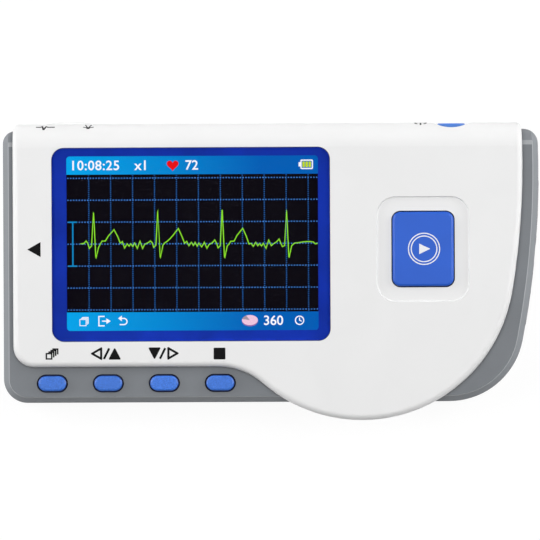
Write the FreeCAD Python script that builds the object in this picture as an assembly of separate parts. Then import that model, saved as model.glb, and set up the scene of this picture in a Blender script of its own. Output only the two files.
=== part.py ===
import FreeCAD, Part

import math
import os

V = FreeCAD.Vector

# A handheld ECG recorder lying on its back, in millimetres.
# +X runs to the right of someone reading the screen, +Y to the side with the sockets and the
# power key, +Z out of the screen. The origin is at the middle of the back face's box.

# ---------------------------------------------------------------- case
case_length = 125.15        # left wall to the fullest point of the right wall
case_width = 63.6           # bottom wall to top wall
wall = 1.8                  # grey wall, floor and front plate
side_radius = 207.6         # long curve of the right wall
side_fullest = 53.9         # height of that curve's fullest point above the bottom wall
bottom_right_radius = 17.5
bottom_left_radius = 5.6
top_left_radius = 3.0
top_right_radius = 3.5
bend_radius = 4.0           # roll from the front face over to the top side
rim_width = 1.4             # bevel round the grey front face
rim_depth = 1.8
back_fillet = 2.5
parting_drop = 1.0          # board's underside to the line where the two grey halves meet
lip_height = 1.0            # tongue that joins the two grey halves
lip_share = 0.95            # how far in from the outside the tongue starts
lip_clearance = 0.1
least_radius = 0.1          # corners never get sharper than this
near = 0.2                  # an edge this close to a line counts as lying on it

# ---------------------------------------------------------------- white cover
cover_step = 1.5            # thickness of the cover, and how far it stands proud of the grey
cover_left_margin = 2.325   # grey left wall to the cover's left edge
cover_right_margin = 3.745
cover_line_rise = 8.3       # bottom wall to the cover's straight lower edge
cover_bottom_left_radius = 5.0
lobe_drop = 4.3             # how far the lobe hangs below the grey bottom wall
lobe_radius = 35.45
lobe_run_in_radius = 16.0   # hollow curve between the straight edge and the lobe
flank_radius = 41.7         # curve from the lobe up to the right edge
flank_angle = -18.9         # direction from the lobe's middle where that curve begins
edge_radius = 179.66        # nearly straight right edge
edge_angle = -9.25
cover_rim_radius = 1.3      # round edge of the cover, which also rounds its top corners
skirt_below_hinge = 2.3     # how far the cover's top and lobe walls reach below the flap's hinge
peg_radius = 0.9            # pegs that locate the cover on the grey frame
peg_clearance = 0.1
peg_from_left = 6.0
low_peg_rise = 25.0
high_peg_drop = 8.5
peg_beside_start = 15.5
peg_below_start = 17.0

# ---------------------------------------------------------------- screen
window_left_margin = 9.15   # cover's left edge to the lens
window_top_margin = 5.61    # cover's top side to the lens
window_low_margin = 6.04    # cover's straight lower edge to the lens
window_to_dish = 10.9       # lens to the recess round the start key
window_border_x = 3.1       # printed border of the lens round the picture
window_border_y = 2.15
window_radius = 2.8
window_clearance = 0.1
gasket_thickness = 0.3
gasket_overhang = 0.9       # how far the gasket stays back from the picture
screen_shift_x = 0.35       # picture's middle from the lens's middle
screen_shift_y = 0.27
screen_sight = 0.5          # frame opening beyond the picture, on each side
sight_radius = 1.5
lcd_border_x = 2.7          # screen module beyond its picture
lcd_border_y = 2.725
lcd_shift_y = -0.48
lcd_thickness = 2.7
lcd_can = 0.3               # sheet of the screen's steel frame
lcd_glass = 1.2
lcd_clearance = 0.05
flex_width = 14.0
flex_thickness = 0.15
flex_gap = 0.1
flex_tuck = 4.0             # how far the ribbon reaches in under the screen's edge
flex_step = 1.0             # length of each short run of the ribbon
flex_socket_depth = 3.0
flex_socket_height = 0.9
flex_socket_side = 1.0      # socket's end walls

# ---------------------------------------------------------------- keys
start_length = 14.3
start_width = 17.4
start_radius = 1.9
start_from_right = 27.015   # case's fullest right point to the key's middle
start_rise = 35.6           # bottom wall to the key's middle
start_proud = 0.2
start_wall = 1.2
start_flange_reach = 1.0
start_stem_radius = 1.5
start_travel = 0.5
dish_length = 21.7          # shallow recess round the start key
dish_width = 24.6
dish_radius = 4.4
dish_depth = 0.35
dish_floor_radius = 0.3
key_length = 6.75
key_width = 3.75
key_count = 4
key_from_left = 11.39       # left wall to the first key's middle
last_key_to_start = 47.5    # last small key's middle to the start key's
key_proud = 0.8
key_travel = 0.35
key_clearance = 0.25
key_crown = 0.6             # rounding of the keys' tops
key_flange_reach = 0.7
key_wall_gap = 0.15         # small keys' flanges to the bottom wall
flange_thickness = 0.65
flange_gap = 0.05
stem_radius = 1.0
switch_side = 3.8
switch_height = 0.8
plunger_radius = 0.8
plunger_length = 0.75
plunger_clearance = 0.1
power_length = 6.5
power_height = 4.0
power_from_right = 20.275
power_sunk = 0.1            # key's top below the top side
power_flange_reach = 1.0
power_crown = 0.3
power_travel = 0.4
power_plunger_length = 1.5
scoop_width = 10.5
scoop_web = 0.4             # what the scoop leaves of the cover's top wall
scoop_edge_radius = 4.5

# ---------------------------------------------------------------- electronics
board_thickness = 1.0
board_gap = 0.8             # board's edge to the case's inner wall
board_space = 0.35          # air over and under the board
boss_gap = 0.4
foil = 0.3                  # sheet of the shield and of the contact leaves
buzzer_radius = 6.0
buzzer_height = 4.0
buzzer_from_right = 13.5
buzzer_rise = 27.0
sound_hole_radius = 0.5
sound_hole_count = 6
chip_pitch = 13.0
chip_side = 9.0
chip_height = 1.2
chip_count = 3
passive_length = 1.6
passive_width = 0.8
passive_height = 0.7
passive_pitch = 2.4
passive_count = 5           # in each row
shield_length = 16.0
shield_width = 12.0
shield_height = 3.0
shield_drop = 12.0          # top wall to the shield's middle

# ---------------------------------------------------------------- battery bay
cell_radius = 5.25
cell_length = 44.5
nub_radius = 1.9
nub_length = 1.0
cell_gap = 0.6
coil_room = 4.1             # pressed length of the contact springs
bay_left = 29.35            # left wall to the bay
bay_rise = 6.3              # bottom wall to the bay
bay_side_gap = 0.6
bay_wall = 1.2
bay_roof = 0.7
contact_sheet = 0.4
contact_side = 4.2          # half a contact plate's side
contact_tail = 2.0          # width of the tails soldered to the board
spring_wire_radius = 0.25
spring_wide_radius = 3.25
spring_narrow_radius = 2.1
spring_turns = 4
spring_steps = 16           # points along each turn of the wire
door_sunk = 0.2
door_thickness = 1.6
door_overlap = 1.0          # how far the door reaches past the bay's walls
door_clearance = 0.05
tongue_reach = 1.0
tongue_thickness = 0.8
deck_height = 2.8           # floor round the door, with the grooves in it
deck_margin = 2.4
grip_count = 6
grip_pitch = 2.2
grip_width = 1.1
grip_depth = 0.4
grip_longest = 17.6

# ---------------------------------------------------------------- sockets and their flap
jack_from_left = 9.575      # left wall to the round lead socket's middle
jack_body = 7.0
jack_height = 6.2
jack_depth = 9.5
jack_barrel_radius = 3.0
jack_bore_radius = 1.8
jack_bore_length = 10.5
usb_from_left = 19.975
usb_length = 7.7
usb_height = 3.9
usb_depth = 9.0
usb_shell = 0.35
usb_block_depth = 3.6
usb_tongue_width = 5.1
usb_tongue_thickness = 0.7
usb_tongue_set_back = 0.9
socket_clearance = 0.2
flap_from_left = 5.175      # left wall to the flap's left end
flap_length = 19.8
flap_margin = 1.1           # flap beyond the sockets' openings
flap_back_gap = 0.3
flap_clearance = 0.2
hinge_gap = 0.05
pin_radius = 0.4
pin_clearance = 0.05
pin_reach = 1.3
flap_lip_proud = 0.6
flap_lip_width = 11.7
flap_lip_height = 1.2
flap_lip_shift = 0.75

# ---------------------------------------------------------------- electrodes
electrode_proud = 0.15
electrode_sheet = 0.6
electrode_height = 8.0
electrode_corner = 1.5
electrode_gap = 0.05
left_electrode_length = 20.0
left_electrode_drop = 27.9  # top wall to the electrode's middle
finger_electrode_length = 15.0
finger_electrode_rise = 44.0    # bottom wall to the electrode's middle
palm_electrode_length = 15.0
palm_electrode_rise = 25.0
tab_length = 3.0
tab_height = 1.2
tab_shift = 3.0             # electrode's middle to each tab
tab_reach = 0.8             # how far a tab shows inside the wall
leaf_width = 3.0

# ---------------------------------------------------------------- screws
boss_radius = 2.9
boss_split = 9.0            # level where the two halves' bosses meet
post_radius = 2.3
counterbore_radius = 2.1
counterbore_depth = 5.0
screw_radius = 0.95
screw_head_radius = 1.9
screw_head_height = 1.4
screw_clearance = 0.05
screw_way = 0.2             # room round a shank where it isn't gripped
screw_tip_gap = 0.9
recess_depth = 0.5
recess_arm_share = 0.6      # cross recess's arm and bar against the head's radius
recess_bar_share = 0.15
standoff_radius = 1.6
board_screw_radius = 0.75
board_screw_head_radius = 1.4
board_screw_head_height = 0.8
screw_from_left = 6.4
screw_from_right = 8.0
screw_drop = 7.2            # top wall to the upper screws
low_left_screw_rise = 16.7
high_left_screw_drop = 17.4
corner_screw_from_right = 15.5
corner_screw_rise = 15.7
screw_beside_start = 12.5
low_screw_from_bay = 9.5
low_screw_rise = 5.4
board_screw_from_left = 5.9
board_screw_from_right = 8.5
board_screw_from_bay = 4.5
board_screw_beside_start = 14.0
left_board_screw_drop = 25.1
low_board_screw_rise = 10.5
board_screw_above_start = 6.0

# ---------------------------------------------------------------- places worked out
# across and along
overall_length = case_length + 2 * electrode_proud
overall_width = lobe_drop + case_width + cover_step + flap_lip_proud
case_left = electrode_proud - overall_length / 2
case_right = case_left + case_length
case_bottom = lobe_drop - overall_width / 2
case_top = case_bottom + case_width
cover_left = case_left + cover_left_margin
cover_right = case_right - cover_right_margin
cover_top = case_top + cover_step
cover_line = case_bottom + cover_line_rise
start_x = case_right - start_from_right
start_y = case_bottom + start_rise
window_left = cover_left + window_left_margin
window_right = start_x - dish_length / 2 - window_to_dish
window_low = cover_line + window_low_margin
window_high = cover_top - window_top_margin
window_length = window_right - window_left
window_width = window_high - window_low
window_x = (window_left + window_right) / 2
window_y = (window_low + window_high) / 2
screen_length = window_length - 2 * window_border_x
screen_width = window_width - 2 * window_border_y
screen_x = window_x + screen_shift_x
screen_y = window_y + screen_shift_y
lcd_length = screen_length + 2 * lcd_border_x
lcd_width = screen_width + 2 * lcd_border_y
lcd_y = window_y + lcd_shift_y
lcd_right = window_x + lcd_length / 2
flex_foot_x = lcd_right + 2 * flex_step
flex_socket_x = flex_foot_x + flex_step / 2
first_key_x = case_left + key_from_left
key_pitch = (start_x - last_key_to_start - first_key_x) / (key_count - 1)
key_y = case_bottom + wall + key_wall_gap + key_flange_reach + key_width / 2
power_x = case_right - power_from_right
scoop_depth = cover_step - scoop_web
bay_length = cell_length + coil_room + 2 * (contact_sheet + door_clearance)
bay_x0 = case_left + bay_left
bay_x1 = bay_x0 + bay_length
bay_y0 = case_bottom + bay_rise
bay_y1 = bay_y0 + 4 * cell_radius + cell_gap + 2 * bay_side_gap
jack_x = case_left + jack_from_left
usb_x = case_left + usb_from_left
flap_x0 = case_left + flap_from_left
flap_x1 = flap_x0 + flap_length
hinge_y = (case_top + cover_top) / 2
hinge_radius = cover_step / 2 - hinge_gap
buzzer_x = case_right - buzzer_from_right
buzzer_y = case_bottom + buzzer_rise

# levels, stacked from the battery door up to the face
door_top = door_sunk + door_thickness
cell_level = door_top + 2 * door_clearance + cell_radius
bay_top = cell_level + cell_radius + door_clearance
board_level = bay_top + bay_roof + board_space
board_top = board_level + board_thickness
lcd_low = board_top + board_space
lcd_top = lcd_low + lcd_thickness
ledge_height = lcd_top + lcd_clearance + wall / 2
plate_low = ledge_height - wall
face = ledge_height + cover_step
parting_height = board_level - parting_drop
electrode_level = (back_fillet + parting_height) / 2
power_level = parting_height - power_height / 2 - power_flange_reach
jack_level = board_level - jack_height / 2
usb_level = board_level - usb_height / 2
hinge_level = jack_level - jack_barrel_radius - flap_margin
flap_top = board_level + flap_margin
skirt_bottom = hinge_level - skirt_below_hinge
screw_tip = plate_low - 2 * screw_tip_gap
flex_level = lcd_low + 2 * lcd_can

case_screw_places = [
    (case_left + screw_from_left, case_bottom + low_left_screw_rise),
    (case_left + screw_from_left, case_top - high_left_screw_drop),
    (start_x - screw_beside_start, case_top - screw_drop),
    (case_right - screw_from_right, case_top - screw_drop),
    (case_right - corner_screw_from_right, case_bottom + corner_screw_rise),
    (bay_x1 + low_screw_from_bay, case_bottom + low_screw_rise),
]
board_screw_places = [
    (case_left + board_screw_from_left, case_top - left_board_screw_drop),
    (bay_x1 + board_screw_from_bay, case_bottom + low_board_screw_rise),
    (start_x - board_screw_beside_start, start_y + board_screw_above_start),
    (case_right - board_screw_from_right, start_y + board_screw_above_start),
]
peg_places = [
    (case_left + peg_from_left, case_bottom + low_peg_rise),
    (case_left + peg_from_left, case_top - high_peg_drop),
    (start_x - peg_beside_start, start_y - peg_below_start / 2),
    (start_x, start_y - peg_below_start),
    (start_x, case_top - high_peg_drop),
]
key_places = [(first_key_x + index * key_pitch, key_y) for index in range(key_count)]
electrodes = {
    "left_electrode": (case_top - left_electrode_drop, left_electrode_length, -1),
    "finger_electrode": (case_bottom + finger_electrode_rise, finger_electrode_length, 1),
    "palm_electrode": (case_bottom + palm_electrode_rise, palm_electrode_length, 1),
}


# ---------------------------------------------------------------- plain solids
def box(x0, x1, y0, y1, z0, z1):
    return Part.makeBox(x1 - x0, y1 - y0, z1 - z0, V(x0, y0, z0))


def round_x(y, z, x0, x1, radius):
    return Part.makeCylinder(radius, x1 - x0, V(x0, y, z), V(1, 0, 0))


def round_y(x, z, y0, y1, radius):
    return Part.makeCylinder(radius, y1 - y0, V(x, y0, z), V(0, 1, 0))


def round_z(x, y, z0, z1, radius):
    return Part.makeCylinder(radius, z1 - z0, V(x, y, z0))


def direction(angle):
    return V(math.cos(math.radians(angle)), math.sin(math.radians(angle)), 0)


def bearing(middle, point):
    return math.degrees(math.atan2(point.y - middle.y, point.x - middle.x))


def arc(middle, radius, start, end):
    half = (start + end) / 2
    return Part.Arc(
        middle + direction(start) * radius,
        middle + direction(half) * radius,
        middle + direction(end) * radius,
    ).toShape()


def line(a, b):
    return Part.LineSegment(a, b).toShape()


def prism(edges, z0, z1):
    outline = Part.Face(Part.Wire(edges))
    outline.translate(V(0, 0, z0))
    return outline.extrude(V(0, 0, z1 - z0))


def rounded_edges(x, y, length, width, radius):
    left, right = x - length / 2 + radius, x + length / 2 - radius
    low, high = y - width / 2 + radius, y + width / 2 - radius
    return [
        line(V(left, low - radius, 0), V(right, low - radius, 0)),
        arc(V(right, low, 0), radius, -90, 0),
        line(V(right + radius, low, 0), V(right + radius, high, 0)),
        arc(V(right, high, 0), radius, 0, 90),
        line(V(right, high + radius, 0), V(left, high + radius, 0)),
        arc(V(left, high, 0), radius, 90, 180),
        line(V(left - radius, high, 0), V(left - radius, low, 0)),
        arc(V(left, low, 0), radius, 180, 270),
    ]


def rounded_plate(x, y, length, width, radius, z0, z1):
    return prism(rounded_edges(x, y, length, width, radius), z0, z1)


def slot_plate(x, y, length, width, z0, z1):
    radius = width / 2
    left, right = x - length / 2 + radius, x + length / 2 - radius
    edges = [
        line(V(left, y - radius, 0), V(right, y - radius, 0)),
        arc(V(right, y, 0), radius, -90, 90),
        line(V(right, y + radius, 0), V(left, y + radius, 0)),
        arc(V(left, y, 0), radius, 90, 270),
    ]
    return prism(edges, z0, z1)


# ---------------------------------------------------------------- outer forms
def case_edges(inset):
    """The grey outline, drawn in by a wall or a clearance, with every corner tangent."""
    low, high = case_bottom + inset, case_top - inset
    left = case_left + inset
    low_left = bottom_left_radius - inset
    high_left = max(top_left_radius - inset, least_radius)
    high_right = max(top_right_radius - inset, least_radius)
    low_right = bottom_right_radius - inset
    side = side_radius - inset
    side_middle = V(case_right - side_radius, case_bottom + side_fullest, 0)
    low_y = low + low_right
    low_x = side_middle.x + math.sqrt((side - low_right) ** 2 - (low_y - side_middle.y) ** 2)
    high_y = high - high_right
    high_x = side_middle.x + math.sqrt((side - high_right) ** 2 - (high_y - side_middle.y) ** 2)
    low_turn = bearing(side_middle, V(low_x, low_y, 0))
    high_turn = bearing(side_middle, V(high_x, high_y, 0))
    return [
        line(V(left + low_left, low, 0), V(low_x, low, 0)),
        arc(V(low_x, low_y, 0), low_right, -90, low_turn),
        arc(side_middle, side, low_turn, high_turn),
        arc(V(high_x, high_y, 0), high_right, high_turn, 90),
        line(V(high_x, high, 0), V(left + high_left, high, 0)),
        arc(V(left + high_left, high - high_left, 0), high_left, 90, 180),
        line(V(left, high - high_left, 0), V(left, low + low_left, 0)),
        arc(V(left + low_left, low + low_left, 0), low_left, 180, 270),
    ]


def wall_x(y, side):
    """Where the outside of the left or the right end wall is at a height y."""
    if side < 0:
        return case_left
    rise = y - (case_bottom + side_fullest)
    return case_right - side_radius + math.sqrt(side_radius ** 2 - rise ** 2)


def cover_edges(inset):
    """The white cover's outline: straight edges, a round lobe and one long right edge."""
    low, high = cover_line + inset, cover_top - inset
    left = cover_left + inset
    low_left = cover_bottom_left_radius - inset
    flank_way, edge_way = direction(flank_angle), direction(edge_angle)
    flank_step, edge_step = flank_radius - lobe_radius, edge_radius - flank_radius
    lobe_x = cover_right - edge_radius + edge_step * edge_way.x + flank_step * flank_way.x
    lobe_middle = V(lobe_x, case_bottom - lobe_drop + lobe_radius, 0)
    flank_middle = lobe_middle - flank_way * flank_step
    edge_middle = flank_middle - edge_way * edge_step
    run_in = lobe_run_in_radius + inset
    run_in_y = low - run_in
    reach = lobe_radius + lobe_run_in_radius
    run_in_x = lobe_x - math.sqrt(reach ** 2 - (lobe_middle.y - run_in_y) ** 2)
    run_in_middle = V(run_in_x, run_in_y, 0)
    run_in_turn = bearing(run_in_middle, lobe_middle)
    edge = edge_radius - inset
    high_x = edge_middle.x + math.sqrt(edge ** 2 - (high - edge_middle.y) ** 2)
    high_turn = bearing(edge_middle, V(high_x, high, 0))
    return [
        line(V(left + low_left, low, 0), V(run_in_x, low, 0)),
        arc(run_in_middle, run_in, 90, run_in_turn),
        arc(lobe_middle, lobe_radius - inset, run_in_turn - 180, flank_angle),
        arc(flank_middle, flank_radius - inset, flank_angle, edge_angle),
        arc(edge_middle, edge, edge_angle, high_turn),
        line(V(high_x, high, 0), V(left, high, 0)),
        line(V(left, high, 0), V(left, low + low_left, 0)),
        arc(V(left + low_left, low + low_left, 0), low_left, 180, 270),
    ]


def rolled(low_z, front_z, top_y, bend):
    """A block over the whole case whose front and top side meet in a round bend."""
    x0, x1 = case_left - case_width, case_right + case_width
    low_y = case_bottom - case_width
    middle = V(x0, top_y - bend, front_z - bend)
    slant = bend * math.sqrt(0.5)
    points = [
        V(x0, low_y, low_z),
        V(x0, top_y, low_z),
        V(x0, top_y, front_z - bend),
        V(x0, top_y - bend, front_z),
        V(x0, low_y, front_z),
    ]
    edges = [
        line(points[0], points[1]),
        line(points[1], points[2]),
        Part.Arc(points[2], middle + V(0, slant, slant), points[3]).toShape(),
        line(points[3], points[4]),
        line(points[4], points[0]),
    ]
    return Part.Face(Part.Wire(edges)).extrude(V(x1 - x0, 0, 0))


def grey_form(inset, z0):
    """The two grey halves together as one block, drawn in by inset, from z0 upwards."""
    front = ledge_height - inset
    bend = max(bend_radius - inset, least_radius)
    return prism(case_edges(inset), z0, front).common(rolled(z0, front, case_top - inset, bend))


def bevelled_grey_form():
    """The same block with the bevelled rim round its front face."""
    low = Part.Wire(case_edges(0))
    low.translate(V(0, 0, ledge_height - rim_depth))
    high = Part.Wire(case_edges(rim_width))
    high.translate(V(0, 0, ledge_height))
    rim = Part.makeLoft([low, high], True, True)
    column = prism(case_edges(0), 0, ledge_height - rim_depth)
    return grey_form(0, 0).common(column.fuse(rim))


def bands(z0, z1, outer_inset, inner_inset):
    """A closed wall that follows the grey outline."""
    return prism(case_edges(outer_inset), z0, z1).cut(prism(case_edges(inner_inset), z0, z1))


def round_back_edges(solid):
    edges = []
    for edge in solid.Edges:
        box_of_edge = edge.BoundBox
        if box_of_edge.ZMax < door_clearance:
            edges.append(edge)
    return solid.makeFillet(back_fillet, edges)


def back_form():
    return round_back_edges(prism(case_edges(0), 0, parting_height))


# ---------------------------------------------------------------- electrodes
def electrode_window(y, length, side, margin):
    """A rounded block through the end wall, with an electrode's outline seen from the side."""
    reach = case_width / 2
    plate = rounded_plate(
        -electrode_level, y, electrode_height + 2 * margin, length + 2 * margin,
        electrode_corner + margin, -reach, reach)
    plate.rotate(V(0, 0, 0), V(0, 1, 0), 90)
    plate.translate(V(case_left if side < 0 else case_right, 0, 0))
    return plate


def electrode_tabs(y, side, margin):
    """Two tabs from an electrode's sheet through the wall."""
    half_length, half_height = tab_length / 2 + margin, tab_height / 2 + margin
    tabs = []
    for middle in (y - tab_shift, y + tab_shift):
        outside = wall_x(middle, side)
        outer = outside - side * (electrode_sheet / 2 - electrode_proud)
        inner = outside - side * (wall + tab_reach)
        tabs.append(box(
            min(outer, inner), max(outer, inner), middle - half_length, middle + half_length,
            electrode_level - half_height, electrode_level + half_height))
    return tabs


def electrode(y, length, side):
    skin = bands(0, parting_height, -electrode_proud, electrode_sheet - electrode_proud)
    plate = skin.common(electrode_window(y, length, side, 0))
    for tab in electrode_tabs(y, side, 0):
        plate = plate.fuse(tab)
    return plate.removeSplitter()


def electrode_seat(y, length, side):
    depth = electrode_sheet - electrode_proud + electrode_gap
    skin = bands(0, parting_height, -wall, depth)
    return skin.common(electrode_window(y, length, side, electrode_gap))


def electrode_springs():
    """Leaves that carry each electrode's signal up to the board."""
    leaves = []
    for y, length, side in electrodes.values():
        middle = y - tab_shift
        y0, y1 = middle - leaf_width / 2, middle + leaf_width / 2
        tip = wall_x(middle, side) - side * (wall + tab_reach)
        back, heel = tip - side * foil, tip - side * leaf_width
        low = electrode_level - tab_height
        upright = box(min(tip, back), max(tip, back), y0, y1, low, board_level)
        foot = box(min(tip, heel), max(tip, heel), y0, y1, board_level - foil, board_level)
        leaves.append(upright.fuse(foot).removeSplitter())
    return leaves


# ---------------------------------------------------------------- shells
def port_openings(margin):
    """Where the two sockets look out through the top wall."""
    y0, y1 = case_top - 2 * wall, cover_top
    jack = round_y(jack_x, jack_level, y0, y1, jack_barrel_radius + margin)
    usb_half, usb_rise = usb_length / 2 + margin, usb_height / 2 + margin
    usb = box(usb_x - usb_half, usb_x + usb_half, y0, y1, usb_level - usb_rise, usb_level + usb_rise)
    return [jack, usb]


def power_plate(margin, y0, y1):
    """The power key's outline, grown by margin and standing on the top side."""
    length, height = power_length + 2 * margin, power_height + 2 * margin
    plate = slot_plate(power_x, -power_level, length, height, 0, y1 - y0)
    plate.rotate(V(0, 0, 0), V(1, 0, 0), -90)
    plate.translate(V(0, y0, 0))
    return plate


def power_flange_pocket():
    depth = flange_thickness + power_travel + 2 * flange_gap
    return power_plate(power_flange_reach + key_clearance, case_top - depth, case_top)


def battery_deck():
    """The thicker floor round the battery door, with the bay's walls and roof."""
    deck = box(
        bay_x0 - door_overlap - tongue_reach - deck_margin,
        bay_x1 + door_overlap + tongue_reach + deck_margin,
        case_bottom, bay_y1 + door_overlap + tongue_reach + deck_margin, 0, deck_height,
    )
    walls = box(
        bay_x0 - bay_wall, bay_x1 + bay_wall, bay_y0 - bay_wall, bay_y1 + bay_wall,
        door_top + door_clearance, bay_top + bay_roof,
    )
    return deck.common(back_form()).fuse(walls)


def door_cavity():
    """What the door slides in: its plate, its side tongues and the bay above."""
    edge = door_overlap + bay_wall
    low = case_bottom - case_width
    x0, x1, y1 = bay_x0 - edge, bay_x1 + edge, bay_y1 + edge
    gap = door_clearance
    tongue_low = door_top - tongue_thickness - gap
    plate = box(x0 - gap, x1 + gap, low, y1 + gap, -gap, door_top + gap)
    reach = tongue_reach + gap
    tongues = box(x0 - reach, x1 + reach, low, y1 + reach, tongue_low, door_top + gap)
    bay = box(bay_x0, bay_x1, bay_y0, bay_y1, door_top, bay_top)
    return plate.fuse(tongues).fuse(bay)


def battery_cover():
    edge = door_overlap + bay_wall
    low = case_bottom - case_width
    x0, x1, y1 = bay_x0 - edge, bay_x1 + edge, bay_y1 + edge
    plate = box(x0, x1, low, y1, door_sunk, door_top)
    tongue_low = door_top - tongue_thickness
    tongues = box(x0 - tongue_reach, x1 + tongue_reach, low, y1 + tongue_reach, tongue_low, door_top)
    door = plate.fuse(tongues).common(back_form()).removeSplitter()
    middle = (x0 + x1) / 2
    for index in range(grip_count):
        y = case_bottom + back_fillet + grip_pitch * (index + 1)
        half = (grip_longest - index * grip_pitch) / 2
        groove = box(middle - half, middle + half, y, y + grip_width, 0, door_sunk + grip_depth)
        door = door.cut(groove)
    return door


def rear_case():
    shell = back_form().cut(prism(case_edges(wall), wall, parting_height))
    shell = shell.fuse(bands(parting_height, parting_height + lip_height, lip_share, wall))
    shell = shell.fuse(battery_deck())
    for x, y in case_screw_places:
        shell = shell.fuse(round_z(x, y, 0, boss_split, boss_radius))
    shell = shell.common(back_form().fuse(prism(case_edges(0), back_fillet, 2 * parting_height)))
    for x, y in case_screw_places:
        shell = shell.cut(round_z(x, y, -wall, counterbore_depth, counterbore_radius))
        shell = shell.cut(round_z(x, y, 0, boss_split, screw_radius + screw_way))
    shell = shell.cut(door_cavity())
    for opening in port_openings(socket_clearance):
        shell = shell.cut(opening)
    shell = shell.cut(power_flange_pocket())
    stem_room = stem_radius + key_clearance
    shell = shell.cut(round_y(power_x, power_level, case_top - 2 * wall, case_top, stem_room))
    for slot in contact_tails(door_clearance):
        shell = shell.cut(slot)
    for y, length, side in electrodes.values():
        shell = shell.cut(electrode_seat(y, length, side))
        for tab in electrode_tabs(y, side, electrode_gap):
            shell = shell.cut(tab)
    for hole in sound_holes():
        shell = shell.cut(hole)
    return shell.removeSplitter()


def sound_holes():
    """A ring of small holes in the back under the buzzer, and one in its middle."""
    holes = [round_z(buzzer_x, buzzer_y, -wall, 2 * wall, sound_hole_radius)]
    for index in range(sound_hole_count):
        way = direction(index * 360 / sound_hole_count) * (buzzer_radius / 2)
        x, y = buzzer_x + way.x, buzzer_y + way.y
        holes.append(round_z(x, y, -wall, 2 * wall, sound_hole_radius))
    return holes


def front_frame():
    frame = bevelled_grey_form().common(grey_form(0, parting_height))
    frame = frame.cut(grey_form(wall, parting_height))
    groove_top = parting_height + lip_height + lip_clearance
    frame = frame.cut(bands(parting_height, groove_top, lip_share - lip_clearance, wall))
    frame = frame.cut(rounded_plate(
        screen_x, screen_y, screen_length + 2 * screen_sight, screen_width + 2 * screen_sight,
        sight_radius, plate_low, ledge_height))
    frame = frame.cut(lcd_block(-window_clearance, parting_height, lcd_top + lcd_clearance))
    inside_plate = plate_low + wall / 4
    for x, y in case_screw_places:
        frame = frame.fuse(round_z(x, y, boss_split, inside_plate, post_radius))
    for x, y in board_screw_places:
        frame = frame.fuse(round_z(x, y, board_top, inside_plate, standoff_radius))
    pilot_top = screw_tip + screw_tip_gap
    for x, y in case_screw_places:
        frame = frame.cut(round_z(x, y, boss_split, pilot_top, screw_radius + screw_clearance))
    for x, y in board_screw_places:
        pilot = board_screw_radius + screw_clearance
        frame = frame.cut(round_z(x, y, board_top, plate_low, pilot))
    for x, y in peg_places:
        frame = frame.cut(round_z(x, y, board_top, ledge_height, peg_radius + peg_clearance))
    for x, y in key_places:
        frame = frame.cut(slot_plate(
            x, y, key_length + 2 * key_clearance, key_width + 2 * key_clearance,
            board_top, ledge_height))
    frame = frame.cut(start_hole(board_top, ledge_height))
    for opening in port_openings(socket_clearance):
        frame = frame.cut(opening)
    return frame.removeSplitter()


def start_hole(z0, z1):
    return rounded_plate(
        start_x, start_y, start_length + 2 * key_clearance, start_width + 2 * key_clearance,
        start_radius + key_clearance, z0, z1)


def scoop():
    """The hollow across the top side that the power key sits in, with blended edges."""
    half = scoop_width / 2
    turn = 2 * math.atan(scoop_depth / half)
    both = half / math.sin(turn)
    hollow = both - scoop_edge_radius
    angle = math.degrees(turn)
    low_middle = V(power_x, cover_top - scoop_depth + hollow, 0)
    left_middle = V(power_x - half, cover_top - scoop_edge_radius, 0)
    right_middle = V(power_x + half, cover_top - scoop_edge_radius, 0)
    above = cover_top + scoop_depth
    edges = [
        line(V(power_x - half, above, 0), V(power_x - half, cover_top, 0)),
        arc(left_middle, scoop_edge_radius, 90, 90 - angle),
        arc(low_middle, hollow, 270 - angle, 270 + angle),
        arc(right_middle, scoop_edge_radius, 90 + angle, 90),
        line(V(power_x + half, cover_top, 0), V(power_x + half, above, 0)),
        line(V(power_x + half, above, 0), V(power_x - half, above, 0)),
    ]
    return prism(edges, 0, face)


def cover_outer_form():
    """The cover as a block with its rim rounded, down the two ends of its top side as well."""
    bend = bend_radius + cover_step
    front = rolled(skirt_bottom, face, cover_top, bend)
    solid = prism(cover_edges(0), skirt_bottom, face).common(front)
    rim = []
    for edge in solid.Edges:
        edge_box = edge.BoundBox
        middle_y = (edge_box.YMin + edge_box.YMax) / 2
        across_bend = edge_box.YLength < near and abs(middle_y - cover_top + bend) < near
        along_top = edge_box.XLength > case_length / 2 and edge_box.YMin > cover_top - bend / 2
        on_rim = edge_box.ZMin > face - near
        on_end = edge_box.YMin > cover_top - bend - near and edge_box.XLength < wall
        if (on_rim and not across_bend) or (on_end and not along_top):
            rim.append(edge)
    return solid.makeFillet(cover_rim_radius, rim)


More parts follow.
